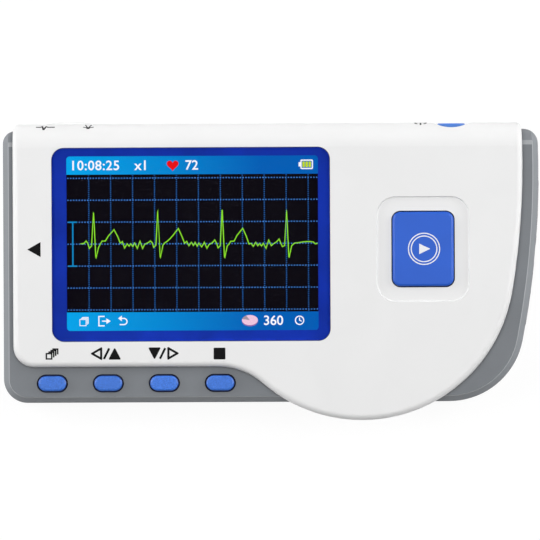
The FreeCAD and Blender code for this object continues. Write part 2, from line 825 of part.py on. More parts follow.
def front_cover():
    cover = cover_outer_form().cut(grey_form(0, 0))
    below = box(case_left, case_right, case_bottom - case_width, case_bottom, skirt_bottom, face)
    pocket = prism(cover_edges(cover_step), skirt_bottom + cover_step, ledge_height).common(below)
    cover = cover.cut(pocket)
    cover = cover.cut(rounded_plate(
        window_x, window_y, window_length + 2 * window_clearance, window_width + 2 * window_clearance,
        window_radius + window_clearance, ledge_height, face))
    dish = rounded_plate(
        start_x, start_y, dish_length, dish_width, dish_radius, face - dish_depth, face + dish_depth)
    floor_edges = [edge for edge in dish.Edges if edge.BoundBox.ZMax < face]
    cover = cover.cut(dish.makeFillet(dish_floor_radius, floor_edges))
    cover = cover.cut(start_hole(ledge_height, face))
    cover = cover.cut(scoop())
    cover = cover.cut(power_plate(key_clearance, case_top, cover_top))
    gap = flap_clearance
    cover = cover.cut(box(
        flap_x0 - gap, flap_x1 + gap, case_top, cover_top + flap_lip_proud,
        hinge_level - cover_step / 2 - 2 * gap, flap_top + gap))
    cover = cover.cut(round_x(
        hinge_y, hinge_level, flap_x0 - gap - pin_reach, flap_x1 + gap + pin_reach,
        pin_radius + pin_clearance))
    for x, y in peg_places:
        cover = cover.fuse(round_z(x, y, plate_low, ledge_height + cover_step / 2, peg_radius))
    return cover.removeSplitter()


# ---------------------------------------------------------------- screen pieces
def display_window():
    plate = rounded_plate(
        window_x, window_y, window_length, window_width, window_radius,
        ledge_height + gasket_thickness, face)
    # the lens follows the start of the cover's bend along its upper edge
    return plate.common(rolled(0, face, cover_top, bend_radius + cover_step))


def window_gasket():
    top = ledge_height + gasket_thickness
    outer = rounded_plate(
        window_x, window_y, window_length, window_width, window_radius, ledge_height, top)
    inner = rounded_plate(
        screen_x, screen_y, screen_length + 2 * gasket_overhang,
        screen_width + 2 * gasket_overhang, sight_radius, ledge_height, top)
    return outer.cut(inner)


def lcd_block(inset, z0, z1):
    half_length, half_width = lcd_length / 2 - inset, lcd_width / 2 - inset
    return box(window_x - half_length, window_x + half_length,
               lcd_y - half_width, lcd_y + half_width, z0, z1)


def flex_way(x0):
    """The room that the ribbon needs where it passes a wall."""
    half = flex_width / 2 + flex_gap
    return box(x0, lcd_right + flex_gap, window_y - half, window_y + half,
               flex_level - flex_gap, flex_level + flex_thickness + flex_gap)


def lcd_frame():
    can = lcd_block(0, lcd_low, lcd_top).cut(lcd_block(lcd_can, lcd_low, lcd_top - lcd_can))
    half_length, half_width = (screen_length + screen_sight) / 2, (screen_width + screen_sight) / 2
    sight = box(screen_x - half_length, screen_x + half_length,
                screen_y - half_width, screen_y + half_width, lcd_low, lcd_top)
    return can.cut(sight).cut(flex_way(window_x))


def lcd_panel():
    top = lcd_top - lcd_can
    return lcd_block(lcd_can + lcd_clearance, top - lcd_glass, top)


def lcd_backlight():
    tray = lcd_block(lcd_can + lcd_clearance, lcd_low, lcd_top - lcd_can - lcd_glass)
    return tray.cut(flex_way(lcd_right - flex_tuck))


def lcd_flex():
    """A ribbon that steps down from the screen to its connector on the board."""
    x0 = lcd_right - flex_tuck
    x1 = lcd_right + flex_step
    x2 = flex_foot_x
    x3 = flex_socket_x + flex_socket_depth / 2
    y = window_y - flex_width / 2
    low = board_top + flex_socket_height / 2
    run = [(x0, flex_level), (x1, flex_level), (x2, low), (x3, low)]
    upper = [V(x, y, z + flex_thickness) for x, z in reversed(run)]
    outline = [V(x, y, z) for x, z in run] + upper
    outline.append(outline[0])
    return Part.Face(Part.makePolygon(outline)).extrude(V(0, flex_width, 0))


def flex_connector():
    x0 = flex_socket_x
    half = flex_width / 2 + flex_gap
    side = half + flex_socket_side
    low = board_top + flex_socket_height / 2
    body = box(x0, x0 + flex_socket_depth, window_y - side, window_y + side,
               board_top, board_top + flex_socket_height)
    mouth = box(x0, x0 + flex_socket_depth / 2, window_y - half, window_y + half,
                low - flex_gap, low + flex_thickness + flex_gap)
    return body.cut(mouth)


# ---------------------------------------------------------------- key pieces
def plunger_top(travel):
    return board_top + switch_height + travel + flange_gap


def crowned(cap, radius, top):
    """The cap with the edge of its top rounded."""
    rim = [edge for edge in cap.Edges if edge.BoundBox.ZMin > top - flange_gap]
    return cap.makeFillet(radius, rim)


def small_key(x, y):
    top = ledge_height + key_proud
    flange_top = plate_low - flange_gap
    flange_low = flange_top - flange_thickness
    cap = crowned(slot_plate(x, y, key_length, key_width, flange_top, top), key_crown, top)
    flange = slot_plate(
        x, y, key_length + 2 * key_flange_reach, key_width + 2 * key_flange_reach,
        flange_low, flange_top)
    stem = round_z(x, y, plunger_top(key_travel), flange_low, stem_radius)
    return cap.fuse(flange).fuse(stem).removeSplitter()


def start_key():
    top = face + start_proud
    flange_top = plate_low - flange_gap
    flange_low = flange_top - flange_thickness
    cap = crowned(
        rounded_plate(start_x, start_y, start_length, start_width, start_radius, flange_top, top),
        key_crown, top)
    flange = rounded_plate(
        start_x, start_y, start_length + 2 * start_flange_reach,
        start_width + 2 * start_flange_reach, start_radius + start_flange_reach,
        flange_low, flange_top)
    hollow = rounded_plate(
        start_x, start_y, start_length - 2 * start_wall, start_width - 2 * start_wall,
        start_radius / 2, flange_low, top - start_wall)
    stem = round_z(start_x, start_y, plunger_top(start_travel), top - start_wall / 2,
                   start_stem_radius)
    return cap.fuse(flange).cut(hollow).fuse(stem).removeSplitter()


def plunger(x, y, travel):
    top = plunger_top(travel)
    return round_z(x, y, top - plunger_length, top, plunger_radius)


def key_switches():
    bodies = []
    half, top = switch_side / 2, board_top + switch_height
    for x, y in key_places + [(start_x, start_y)]:
        body = box(x - half, x + half, y - half, y + half, board_top, top)
        bodies.append(body.cut(round_z(x, y, board_top, top, plunger_radius + plunger_clearance)))
    return bodies


def power_plunger_tip():
    """Outer end of the side switch's plunger, at rest, just inside the board's edge."""
    return case_top - wall - board_gap - flange_gap


def power_key():
    flange_outer = case_top - flange_gap
    flange_inner = flange_outer - flange_thickness
    top = cover_top - power_sunk
    cap = power_plate(0, flange_outer, top)
    rim = [edge for edge in cap.Edges if edge.BoundBox.YMin > top - flange_gap]
    flange = power_plate(power_flange_reach, flange_inner, flange_outer)
    stem = round_y(power_x, power_level, power_plunger_tip(), flange_inner, stem_radius)
    return cap.makeFillet(power_crown, rim).fuse(flange).fuse(stem).removeSplitter()


def power_plunger():
    tip = power_plunger_tip()
    return round_y(power_x, power_level, tip - power_plunger_length, tip, plunger_radius)


def power_switch():
    front = power_plunger_tip() - power_travel - flange_gap
    half = switch_side / 2
    body = box(power_x - half, power_x + half, front - switch_side, front,
               power_level - half, board_level)
    hole = round_y(power_x, power_level, front - power_plunger_length - flange_gap, front,
                   plunger_radius + plunger_clearance)
    return body.cut(hole)


# ---------------------------------------------------------------- board and what it carries
def main_board():
    board = prism(case_edges(wall + board_gap), board_level, board_top)
    for x, y in case_screw_places:
        board = board.cut(round_z(x, y, board_level, board_top, post_radius + boss_gap))
    for x, y in board_screw_places:
        board = board.cut(round_z(x, y, board_level, board_top, board_screw_radius + screw_way))
    return board


def board_chips():
    """Processor, memory and converter in a column under the right half of the board."""
    chips = []
    for index in range(chip_count):
        y = start_y + (index - 1) * chip_pitch
        half = chip_side / 2 - index
        chips.append(box(start_x - half, start_x + half, y - half, y + half,
                         board_level - chip_height, board_level))
    return chips


def board_passives():
    """A row of small capacitors and resistors in each gap between two chips."""
    pieces = []
    for row in range(chip_count - 1):
        y = start_y + (row - 1) * chip_pitch + (chip_pitch - passive_width) / 2
        for index in range(passive_count):
            middle = start_x + (index - (passive_count - 1) / 2) * passive_pitch
            x = middle - passive_length / 2
            pieces.append(box(x, x + passive_length, y, y + passive_width,
                              board_level - passive_height, board_level))
    return pieces


def amplifier_shield():
    """A thin steel can over the signal amplifier, open towards the board."""
    x0 = usb_x + shield_length
    x1, y = x0 + shield_length, case_top - shield_drop
    half, low = shield_width / 2, board_level - shield_height
    outer = box(x0, x1, y - half, y + half, low, board_level)
    inner = box(x0 + foil, x1 - foil, y - half + foil, y + half - foil, low + foil, board_level)
    return outer.cut(inner)


def buzzer():
    low = board_level - buzzer_height
    body = round_z(buzzer_x, buzzer_y, low, board_level, buzzer_radius)
    return body.cut(round_z(buzzer_x, buzzer_y, low, low + buzzer_height / 2, stem_radius))


def lead_socket():
    half, inner = jack_body / 2, case_top - wall
    block = box(jack_x - half, jack_x + half, inner - jack_depth, inner - socket_clearance,
                board_level - jack_height, board_level)
    barrel = round_y(jack_x, jack_level, inner - wall, case_top, jack_barrel_radius)
    bore = round_y(jack_x, jack_level, case_top - jack_bore_length, case_top, jack_bore_radius)
    return block.fuse(barrel).cut(bore).removeSplitter()


def usb_block(inset, y0, y1):
    half, rise = usb_length / 2 - inset, usb_height / 2 - inset
    return box(usb_x - half, usb_x + half, y0, y1, usb_level - rise, usb_level + rise)


def usb_socket():
    front = case_top - socket_clearance
    back = front - usb_depth
    return usb_block(0, back, front).cut(usb_block(usb_shell, back, front))


def usb_tongue():
    """The plastic block at the back of the shell, with its contact tongue."""
    front = case_top - socket_clearance
    back = front - usb_depth
    half, rise = usb_tongue_width / 2, usb_tongue_thickness / 2
    tongue = box(usb_x - half, usb_x + half, back, front - usb_tongue_set_back,
                 usb_level - rise, usb_level + rise)
    return usb_block(usb_shell, back, back + usb_block_depth).fuse(tongue).removeSplitter()


# ---------------------------------------------------------------- batteries
def cell_rows():
    """Heights of the two cells above the bottom wall, lower one first."""
    first = bay_y0 + bay_side_gap + cell_radius
    return first, first + 2 * cell_radius + cell_gap


def left_stop():
    return bay_x0 + contact_sheet + door_clearance


def right_stop():
    return bay_x1 - contact_sheet - door_clearance


def battery_1():
    """The lower cell, nub to the left."""
    y = cell_rows()[0]
    body = round_x(y, cell_level, left_stop() + nub_length, left_stop() + cell_length, cell_radius)
    nub = round_x(y, cell_level, left_stop(), left_stop() + nub_length, nub_radius)
    return body.fuse(nub).removeSplitter()


def battery_2():
    """The upper cell, nub to the right."""
    y = cell_rows()[1]
    body = round_x(y, cell_level, right_stop() - cell_length, right_stop() - nub_length, cell_radius)
    nub = round_x(y, cell_level, right_stop() - nub_length, right_stop(), nub_radius)
    return body.fuse(nub).removeSplitter()


def contact_plate(x0, y0, y1):
    return box(x0, x0 + contact_sheet, y0 - contact_side, y1 + contact_side,
               cell_level - contact_side, cell_level + contact_side)


def contact_tails(margin):
    """Tails of the two left contacts, up through the bay's roof to the board."""
    half = contact_tail / 2 + margin
    return [box(bay_x0 - margin, bay_x0 + contact_sheet + margin, y - half, y + half,
                cell_level, board_level) for y in cell_rows()]


def coil(x_plate, x_cell, y):
    """A conical wire spring between a contact plate and a cell's flat end."""
    length = abs(x_cell - x_plate) - 2 * spring_wire_radius
    count = spring_turns * spring_steps
    points = []
    for index in range(count + 1):
        share = index / count
        radius = spring_wide_radius + (spring_narrow_radius - spring_wide_radius) * share
        points.append(direction(360 * spring_turns * share) * radius + V(0, 0, length * share))
    path = Part.BSplineCurve()
    path.interpolate(points)
    start_way = path.tangent(path.FirstParameter)[0]
    ring = Part.makeCircle(spring_wire_radius, points[0], start_way)
    spring = Part.Wire(path.toShape()).makePipeShell([Part.Wire(ring)], True, True)
    spring.translate(V(0, 0, spring_wire_radius))
    spring.rotate(V(0, 0, 0), V(0, 1, 0), 90 if x_cell > x_plate else -90)
    spring.translate(V(x_plate, y, cell_level))
    return spring


def positive_contact():
    y = cell_rows()[0]
    return contact_plate(bay_x0, y, y).fuse(contact_tails(0)[0]).removeSplitter()


def negative_spring():
    y = cell_rows()[1]
    plate = contact_plate(bay_x0, y, y).fuse(contact_tails(0)[1]).removeSplitter()
    return [plate, coil(bay_x0 + contact_sheet, right_stop() - cell_length, y)]


def bridge_contact():
    lower, upper = cell_rows()
    x0 = bay_x1 - contact_sheet
    return [contact_plate(x0, lower, upper), coil(x0, left_stop() + cell_length, lower)]


# ---------------------------------------------------------------- socket flap
def port_cover():
    inner = case_top + flap_back_gap
    plate = box(flap_x0, flap_x1, inner, cover_top, hinge_level, flap_top)
    knuckle = round_x(hinge_y, hinge_level, flap_x0, flap_x1, hinge_radius)
    half = flap_lip_width / 2
    bow = (half ** 2 + flap_lip_proud ** 2) / (2 * flap_lip_proud)
    middle, peak = (flap_x0 + flap_x1) / 2 + flap_lip_shift, cover_top + flap_lip_proud
    lip = round_z(middle, peak - bow, flap_top - flap_lip_height, flap_top, bow)
    lip = lip.common(box(middle - half, middle + half, inner, peak, hinge_level, flap_top))
    eye = round_x(hinge_y, hinge_level, flap_x0, flap_x1, pin_radius + pin_clearance)
    return plate.fuse(knuckle).fuse(lip).cut(eye).removeSplitter()


def port_cover_pin():
    reach = pin_reach + flap_clearance
    return round_x(hinge_y, hinge_level, flap_x0 - reach, flap_x1 + reach, pin_radius)


# ---------------------------------------------------------------- screw pieces
def screw(x, y, seat, tip, radius, head_radius, head_height):
    """A pan head under its seat, a plain shank up to its tip, and a cross recess."""
    low = seat - head_height
    arm, bar = head_radius * recess_arm_share, head_radius * recess_bar_share
    head = round_z(x, y, low, seat, head_radius)
    shank = round_z(x, y, seat, tip, radius)
    across = box(x - arm, x + arm, y - bar, y + bar, low, low + recess_depth)
    along = box(x - bar, x + bar, y - arm, y + arm, low, low + recess_depth)
    return head.fuse(shank).cut(across).cut(along).removeSplitter()


def case_screws():
    return [screw(x, y, counterbore_depth, screw_tip, screw_radius, screw_head_radius,
                  screw_head_height) for x, y in case_screw_places]


def board_screws():
    return [screw(x, y, board_level, plate_low - screw_clearance, board_screw_radius,
                  board_screw_head_radius, board_screw_head_height)
            for x, y in board_screw_places]


# ---------------------------------------------------------------- the assembly
def assembly():
    nodes = {
        "front_cover": front_cover(),
        "front_frame": front_frame(),
        "rear_case": rear_case(),
        "display_window": display_window(),
        "window_gasket": window_gasket(),
        "lcd_frame": lcd_frame(),
        "lcd_panel": lcd_panel(),
        "lcd_backlight": lcd_backlight(),
        "lcd_flex": lcd_flex(),
        "flex_connector": flex_connector(),
        "main_board": main_board(),
        "board_chips": board_chips(),
        "board_passives": board_passives(),
        "amplifier_shield": amplifier_shield(),
        "buzzer": buzzer(),
        "key_switches": key_switches(),
        "power_switch": power_switch(),
        "lead_socket": lead_socket(),
        "usb_socket": usb_socket(),
        "usb_tongue": usb_tongue(),
        "battery_1": battery_1(),
        "battery_2": battery_2(),
        "positive_contact": positive_contact(),
        "negative_spring": negative_spring(),
        "bridge_contact": bridge_contact(),
        "electrode_springs": electrode_springs(),
        "case_screws": case_screws(),
        "board_screws": board_screws(),
        "port_cover_pin": port_cover_pin(),
        "port_cover": port_cover(),
        "battery_cover": battery_cover(),
        "start_key": start_key(),
        "start_plunger": plunger(start_x, start_y, start_travel),
        "power_key": power_key(),
        "power_plunger": power_plunger(),
    }
    for name, (y, length, side) in electrodes.items():
        nodes[name] = electrode(y, length, side)
    key_names = ["menu", "left_up", "down_right", "select"]
    for name, (x, y) in zip(key_names, key_places):
        nodes[name + "_key"] = small_key(x, y)
        nodes[name + "_plunger"] = plunger(x, y, key_travel)
    return nodes


os.makedirs("parts", exist_ok=True)
for node, solids in assembly().items():
    shape = Part.makeCompound(solids) if isinstance(solids, list) else solids
    shape.exportStep("parts/" + node + ".step")
    print(node, len(shape.Solids), round(shape.Volume, 2), shape.isValid())
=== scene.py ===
import math

import bmesh
import bpy
from bpy.props import FloatProperty, FloatVectorProperty, IntProperty, PointerProperty
from mathutils import Euler, Matrix, Vector
from mathutils.geometry import tessellate_polygon


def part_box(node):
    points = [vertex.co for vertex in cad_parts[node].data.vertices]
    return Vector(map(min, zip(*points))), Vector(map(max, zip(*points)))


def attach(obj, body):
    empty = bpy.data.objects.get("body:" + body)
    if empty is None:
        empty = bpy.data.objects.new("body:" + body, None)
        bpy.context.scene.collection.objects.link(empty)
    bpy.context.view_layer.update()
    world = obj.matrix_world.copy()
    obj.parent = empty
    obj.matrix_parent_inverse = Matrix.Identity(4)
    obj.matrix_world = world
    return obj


bl_info = {
    "name": "Handheld Heart Recorder Looks",
    "version": (1, 0, 0),
    "blender": (4, 5, 0),
    "location": "3D View > Sidebar > Recorder",
    "description": "Finishes, printed marks, screen picture and studio for the handheld recorder",
    "category": "Object",
}

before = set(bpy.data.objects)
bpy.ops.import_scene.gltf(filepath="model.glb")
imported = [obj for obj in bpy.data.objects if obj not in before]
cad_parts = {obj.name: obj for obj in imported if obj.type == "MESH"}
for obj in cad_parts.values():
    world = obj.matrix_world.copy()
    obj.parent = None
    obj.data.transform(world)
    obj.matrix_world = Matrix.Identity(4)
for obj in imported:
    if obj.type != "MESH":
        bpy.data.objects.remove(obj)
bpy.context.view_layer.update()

MM = 0.001
HOUSING = "housing"

# kinds of sockets in a node group
NUMBER, WHOLE, COLOUR = "NodeSocketFloat", "NodeSocketInt", "NodeSocketColor"
VECTOR, GEOMETRY = "NodeSocketVector", "NodeSocketGeometry"

# surfaces that the pieces below are laid on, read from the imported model, in millimetres
COVER_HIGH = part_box("front_cover")[1] / MM
PANEL_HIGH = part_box("lcd_panel")[1] / MM
LENS_LOW, LENS_HIGH = (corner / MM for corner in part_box("display_window"))
START_LOW, START_HIGH = (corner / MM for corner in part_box("start_key"))
TONGUE_LOW, TONGUE_HIGH = (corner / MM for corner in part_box("usb_tongue"))
LENS_MIDDLE = (LENS_LOW + LENS_HIGH) / 2
PICTURE_MIDDLE = LENS_MIDDLE + Vector((0.35, 0.27, 0))
KEY_NODES = ("menu_key", "left_up_key", "down_right_key", "select_key")

# the height of the grey frame's ledge, in metres
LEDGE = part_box("front_frame")[1].z

# levels of the screen picture's layers, in millimetres
GROUND_TOP = PANEL_HIGH.z + 0.02
BARS_TOP = PANEL_HIGH.z + 0.04
SCALE_LEVELS = PANEL_HIGH.z + 0.03, PANEL_HIGH.z + 0.045
SIGN_LEVELS = BARS_TOP, PANEL_HIGH.z + 0.055
TRACE_LEVEL = PANEL_HIGH.z + 0.05

# the first dotted column, the first dotted row and the first peak of the heart trace, in
# millimetres from the picture's left, top and left edge
GRID_LEFT, GRID_TOP, FIRST_PEAK = 5.14, 5.10, 6.24

# how far the ink of a print reaches down into the plastic, in millimetres
INK_ROOT = 0.02


# ---------------------------------------------------------------- sizes and colours
def colour_field(name, text, value):
    return FloatVectorProperty(
        name=name, description=text, default=value, subtype="COLOR_GAMMA",
        size=3, min=0.0, max=1.0)


def length_field(name, text, millimetres):
    return FloatProperty(name=name, description=text, default=millimetres * MM, unit="LENGTH")


def power_field(name, text, watts):
    return FloatProperty(name=name, description=text, default=watts, unit="POWER")


def share_field(name, text, value):
    return FloatProperty(
        name=name, description=text, default=value, min=0.0, max=1.0, subtype="FACTOR")


class RecorderShell(bpy.types.PropertyGroup):
    cover: colour_field("Cover", "Moulded white of the front cover", (0.908, 0.908, 0.908))
    case: colour_field("Case", "Moulded grey of the case halves", (0.474, 0.490, 0.509))
    start: colour_field("Start key", "Blue of the large key", (0.108, 0.360, 0.803))
    small: colour_field("Small keys", "Blue of the four small keys", (0.232, 0.458, 0.842))
    # the small keys' navy foot is painted shade, for the shadow in the gap round each key
    small_foot_shade: colour_field("Small keys' foot", "Navy round the small keys", (0.02, 0.09, 0.34))
    power: colour_field("Power key", "Blue of the key on the top side", (0.300, 0.515, 0.858))
    grain: length_field("Grain", "Width of the fine grain in the moulded plastic", 0.22)
    cloud: length_field("Cloud", "Width of the faint flow clouds in the plastic", 14.0)


class RecorderScreen(bpy.types.PropertyGroup):
    length: length_field("Picture length", "Lit picture from left to right", 58.75)
    width: length_field("Picture width", "Lit picture from bottom to top", 40.75)
    corner: length_field("Picture corner", "Corner radius of the printed opening", 0.75)
    top_bar: length_field("Top bar", "Height of the bar with time and charge", 4.25)
    low_bar: length_field("Bottom bar", "Height of the bar with the menu signs", 4.30)
    cell: length_field("Grid cell", "Distance between two dotted lines", 5.13)
    row_pitch: length_field("Row pitch", "Distance between two dots of a row", 0.661)
    column_pitch: length_field("Column pitch", "Distance between two dots of a column", 0.488)
    dot: length_field("Dot", "Width of one dot", 0.27)
    beat_pitch: length_field("Beat pitch", "Distance between two heart beats", 15.04)
    beats: IntProperty(name="Beats", description="Beats drawn across the picture", default=4)
    line: length_field("Trace line", "Width of the heart trace", 0.24)
    border: colour_field("Border", "Ink printed behind the lens", (0.070, 0.164, 0.549))
    bar_left: colour_field("Bars, left", "Bar colour at the left end", (0.015, 0.655, 0.935))
    bar_right: colour_field("Bars, right", "Bar colour at the right end", (0.000, 0.375, 0.725))
    dots: colour_field("Row dots", "Colour of the dots that lie in rows", (0.215, 0.460, 0.790))
    column_dots: colour_field("Column dots", "Colour of the dots in columns", (0.110, 0.330, 0.600))
    trace: colour_field("Trace", "Colour of the heart trace", (0.555, 0.890, 0.170))
    scale: colour_field("Scale", "Colour of the height scale", (0.050, 0.540, 0.780))


class RecorderMarks(bpy.types.PropertyGroup):
    ink: colour_field("Ink", "Black of the printed signs", (0.025, 0.025, 0.032))
    key_ink: colour_field("Key ink", "White printed on the start key", (0.930, 0.935, 0.955))
    height: length_field("Ink height", "How far the ink stands on the plastic", 0.03)
    line: length_field("Line", "Width of the drawn lines", 0.50)
    ring: length_field("Ring", "Diameter of the start key's outer ring", 7.52)
    ring_line: length_field("Ring line", "Width of the start key's rings", 0.255)


class RecorderStudio(bpy.types.PropertyGroup):
    distance: length_field("Distance", "Camera to the front face", 2000.0)
    view_width: length_field("View width", "Width seen at the front face", 126.09)
    aim_x: length_field("Aim X", "Point aimed at, across", -0.205)
    aim_y: length_field("Aim Y", "Point aimed at, along", 0.144)
    turn: FloatVectorProperty(
        name="Turn", description="Pitch, yaw and roll of the camera from straight overhead",
        default=(math.radians(-0.3), math.radians(0.8), math.radians(-0.262)),
        subtype="EULER", size=3)
    strip_light: power_field("Strips", "Each low strip lamp at the left and right", 3.5)
    side_light: power_field("Side lights", "Each high lamp at the left and right", 2.8)
    top_light: power_field("Top light", "The lamp beyond the top side", 0.4)
    under_light: power_field("Under light", "The lamp below, for the underside", 5.0)
    fill: share_field("Fill", "Brightness of the surroundings near the horizon", 0.035)
    floor: colour_field("Floor", "Colour of the table", (0.93, 0.93, 0.93))
    shadow: share_field("Shadow", "How much of the table's shading the camera sees", 0.07)


# ---------------------------------------------------------------- node building
def linear(colour):
    """A displayed colour as the linear light that shaders use."""
    return tuple(
        part / 12.92 if part <= 0.04045 else ((part + 0.055) / 1.055) ** 2.4
        for part in colour) + (1.0,)


def darker(colour, share):
    return tuple(part * share for part in colour)


def lighter(colour, share):
    return tuple(part + (1.0 - part) * share for part in colour)


def set_inputs(tree, node, inputs):
    """Links each input that is given a socket and sets each one that is given a value."""
    for key, value in inputs.items():
        if isinstance(value, bpy.types.NodeSocket):
            tree.links.new(value, node.inputs[key])
        else:
            node.inputs[key].default_value = value


def add_node(tree, kind, inputs=None, **options):
    node = tree.nodes.new(kind)
    for key, value in options.items():
        setattr(node, key, value)
    set_inputs(tree, node, inputs or {})
    return node


def first_of(tree, kind, inputs=None, **options):
    """The first output of a new node."""
    return add_node(tree, kind, inputs, **options).outputs[0]


def calculate(tree, operation, first, second=0.0, third=0.0):
    return first_of(tree, "ShaderNodeMath", {0: first, 1: second, 2: third}, operation=operation)


def blend_colours(tree, share, first, second, blend="MIX"):
    node = add_node(
        tree, "ShaderNodeMix", {0: share, 6: first, 7: second}, data_type="RGBA",
        blend_type=blend)
    return node.outputs[2]


def blend_numbers(tree, share, first, second):
    return first_of(tree, "ShaderNodeMix", {0: share, 2: first, 3: second}, data_type="FLOAT")


def blend_shaders(tree, share, first, second):
    return first_of(tree, "ShaderNodeMixShader", {0: share, 1: first, 2: second})


def dimmed(tree, colour, light):
    """The colour with each of its parts multiplied by the light."""
    grey = first_of(tree, "ShaderNodeCombineColor", {0: light, 1: light, 2: light})
    return blend_colours(tree, 1.0, colour, grey, "MULTIPLY")


def remap(tree, value, low, high, to_low, to_high):
    return first_of(
        tree, "ShaderNodeMapRange", {0: value, 1: low, 2: high, 3: to_low, 4: to_high})


def object_place(tree):
    return add_node(tree, "ShaderNodeTexCoord").outputs["Object"]


def axes_of(tree, vector):
    return add_node(tree, "ShaderNodeSeparateXYZ", {0: vector}).outputs


def vector_of(tree, x, y=0.0, z=0.0):
    return first_of(tree, "ShaderNodeCombineXYZ", {0: x, 1: y, 2: z})


def noise(tree, place, scale, detail=2.0, roughness=0.5, distortion=0.0):
    return first_of(
        tree, "ShaderNodeTexNoise",
        {"Vector": place, "Scale": scale, "Detail": detail, "Roughness": roughness,
         "Distortion": distortion})


def new_group(name, kind, inputs, outputs):
    tree = bpy.data.node_groups.new(name, kind)
    for label, socket, value in inputs:
        item = tree.interface.new_socket(label, in_out="INPUT", socket_type=socket)
        if value is not None:
            item.default_value = value
    for label, socket in outputs:
        tree.interface.new_socket(label, in_out="OUTPUT", socket_type=socket)
    return tree, tree.nodes.new("NodeGroupInput").outputs, tree.nodes.new("NodeGroupOutput")


def grain_group():
    """Fine spark grain, faint flow clouds and light handling marks of moulded plastic."""
    tree, taken, given = new_group(
        "Moulded grain", "ShaderNodeTree",
        [("Colour", COLOUR, (0.5, 0.5, 0.5, 1)), ("Deep colour", COLOUR, (0.4, 0.4, 0.4, 1)),
         ("Grain scale", NUMBER, 4000.0), ("Cloud scale", NUMBER, 70.0),
         ("Roughness", NUMBER, 0.4), ("Spread", NUMBER, 0.08), ("Wear", NUMBER, 0.2),
         ("Speck", NUMBER, 0.0)],
        [("Colour", COLOUR), ("Roughness", NUMBER), ("Height", NUMBER)])
    place = object_place(tree)
    grain = noise(tree, place, taken["Grain scale"], detail=3.0, roughness=0.6)
    cloud = noise(tree, place, taken["Cloud scale"], detail=4.0, distortion=0.6)
    wear_place = first_of(
        tree, "ShaderNodeMapping",
        {"Vector": place, "Scale": (1.0, 0.22, 1.0), "Rotation": (0, 0, 0.7)})
    scuff = noise(tree, wear_place, 900.0, detail=5.0, roughness=0.75)
    rubbed = remap(tree, scuff, 0.62, 0.78, 0.0, taken["Wear"])
    patches = remap(tree, cloud, 0.35, 0.65, 0.0, 1.0)
    tinted = blend_colours(tree, patches, taken["Deep colour"], taken["Colour"])
    specks = remap(tree, grain, 0.2, 0.8, -0.5, 0.5)
    light = calculate(tree, "MULTIPLY_ADD", specks, taken["Speck"], 1.0)
    uneven = calculate(tree, "MULTIPLY_ADD", specks, taken["Spread"], taken["Roughness"])
    set_inputs(tree, given, {
        "Colour": dimmed(tree, tinted, light),
        "Roughness": calculate(tree, "MULTIPLY_ADD", rubbed, 0.35, uneven),
        "Height": grain})
    return tree


def brushed_group():
    """Fine lines drawn along one direction, with the tarnish that gathers between them."""
    tree, taken, given = new_group(
        "Brushed metal", "ShaderNodeTree",
        [("Colour", COLOUR, (0.6, 0.6, 0.6, 1)), ("Dull colour", COLOUR, (0.4, 0.4, 0.4, 1)),
         ("Stretch", VECTOR, (1.0, 20.0, 1.0)), ("Line scale", NUMBER, 400.0),
         ("Roughness", NUMBER, 0.3), ("Spread", NUMBER, 0.15)],
        [("Colour", COLOUR), ("Roughness", NUMBER), ("Height", NUMBER)])
    place = object_place(tree)
    drawn = first_of(tree, "ShaderNodeMapping", {"Vector": place, "Scale": taken["Stretch"]})
    lines = noise(tree, drawn, taken["Line scale"], detail=6.0, roughness=0.65)
    stain = noise(tree, place, 160.0, detail=3.0)
    dull = remap(tree, stain, 0.45, 0.75, 0.0, 0.7)
    depth = remap(tree, lines, 0.3, 0.7, -0.5, 0.5)
    set_inputs(tree, given, {
        "Colour": blend_colours(tree, dull, taken["Colour"], taken["Dull colour"]),
        "Roughness": calculate(tree, "MULTIPLY_ADD", depth, taken["Spread"], taken["Roughness"]),
        "Height": lines})
    return tree


def pixel_group():
    """The fine raster of a colour screen, which dims a lit colour between its pixels."""
    tree, taken, given = new_group(
        "Screen raster", "ShaderNodeTree",
        [("Colour", COLOUR, (1, 1, 1, 1)), ("Pixel", NUMBER, 0.000183), ("Depth", NUMBER, 0.1)],
        [("Colour", COLOUR)])
    dark = 0.0
    for axis in axes_of(tree, object_place(tree))[:2]:
        step = calculate(tree, "DIVIDE", axis, taken["Pixel"])
        inside = calculate(tree, "PINGPONG", step, 0.5)
        edge = remap(tree, inside, 0.0, 0.12, 1.0, 0.0)
        dark = calculate(tree, "MAXIMUM", dark, edge)
    lost = calculate(tree, "MULTIPLY", dark, taken["Depth"])
    left = calculate(tree, "SUBTRACT", 1.0, lost)
    set_inputs(tree, given, {"Colour": dimmed(tree, taken["Colour"], left)})
    return tree


def add_group(tree, maker, name, inputs):
    """A node that holds the shader group of this name, which is made at its first use."""
    group = bpy.data.node_groups.get(name) or maker()
    return add_node(tree, "ShaderNodeGroup", inputs, node_tree=group)


# ---------------------------------------------------------------- materials
def empty_material(name):
    made = bpy.data.materials.new(name)
    made.use_nodes = True
    made.node_tree.nodes.clear()
    return made, made.node_tree


def new_material(name):
    made, tree = empty_material(name)
    shader = add_node(tree, "ShaderNodeBsdfPrincipled")
    add_node(tree, "ShaderNodeOutputMaterial", {0: shader.outputs[0]})
    return made, tree, shader


def roughen(tree, shader, height, distance, strength):
    bump = first_of(
        tree, "ShaderNodeBump", {"Strength": strength, "Distance": distance, "Height": height})
    set_inputs(tree, shader, {"Normal": bump})


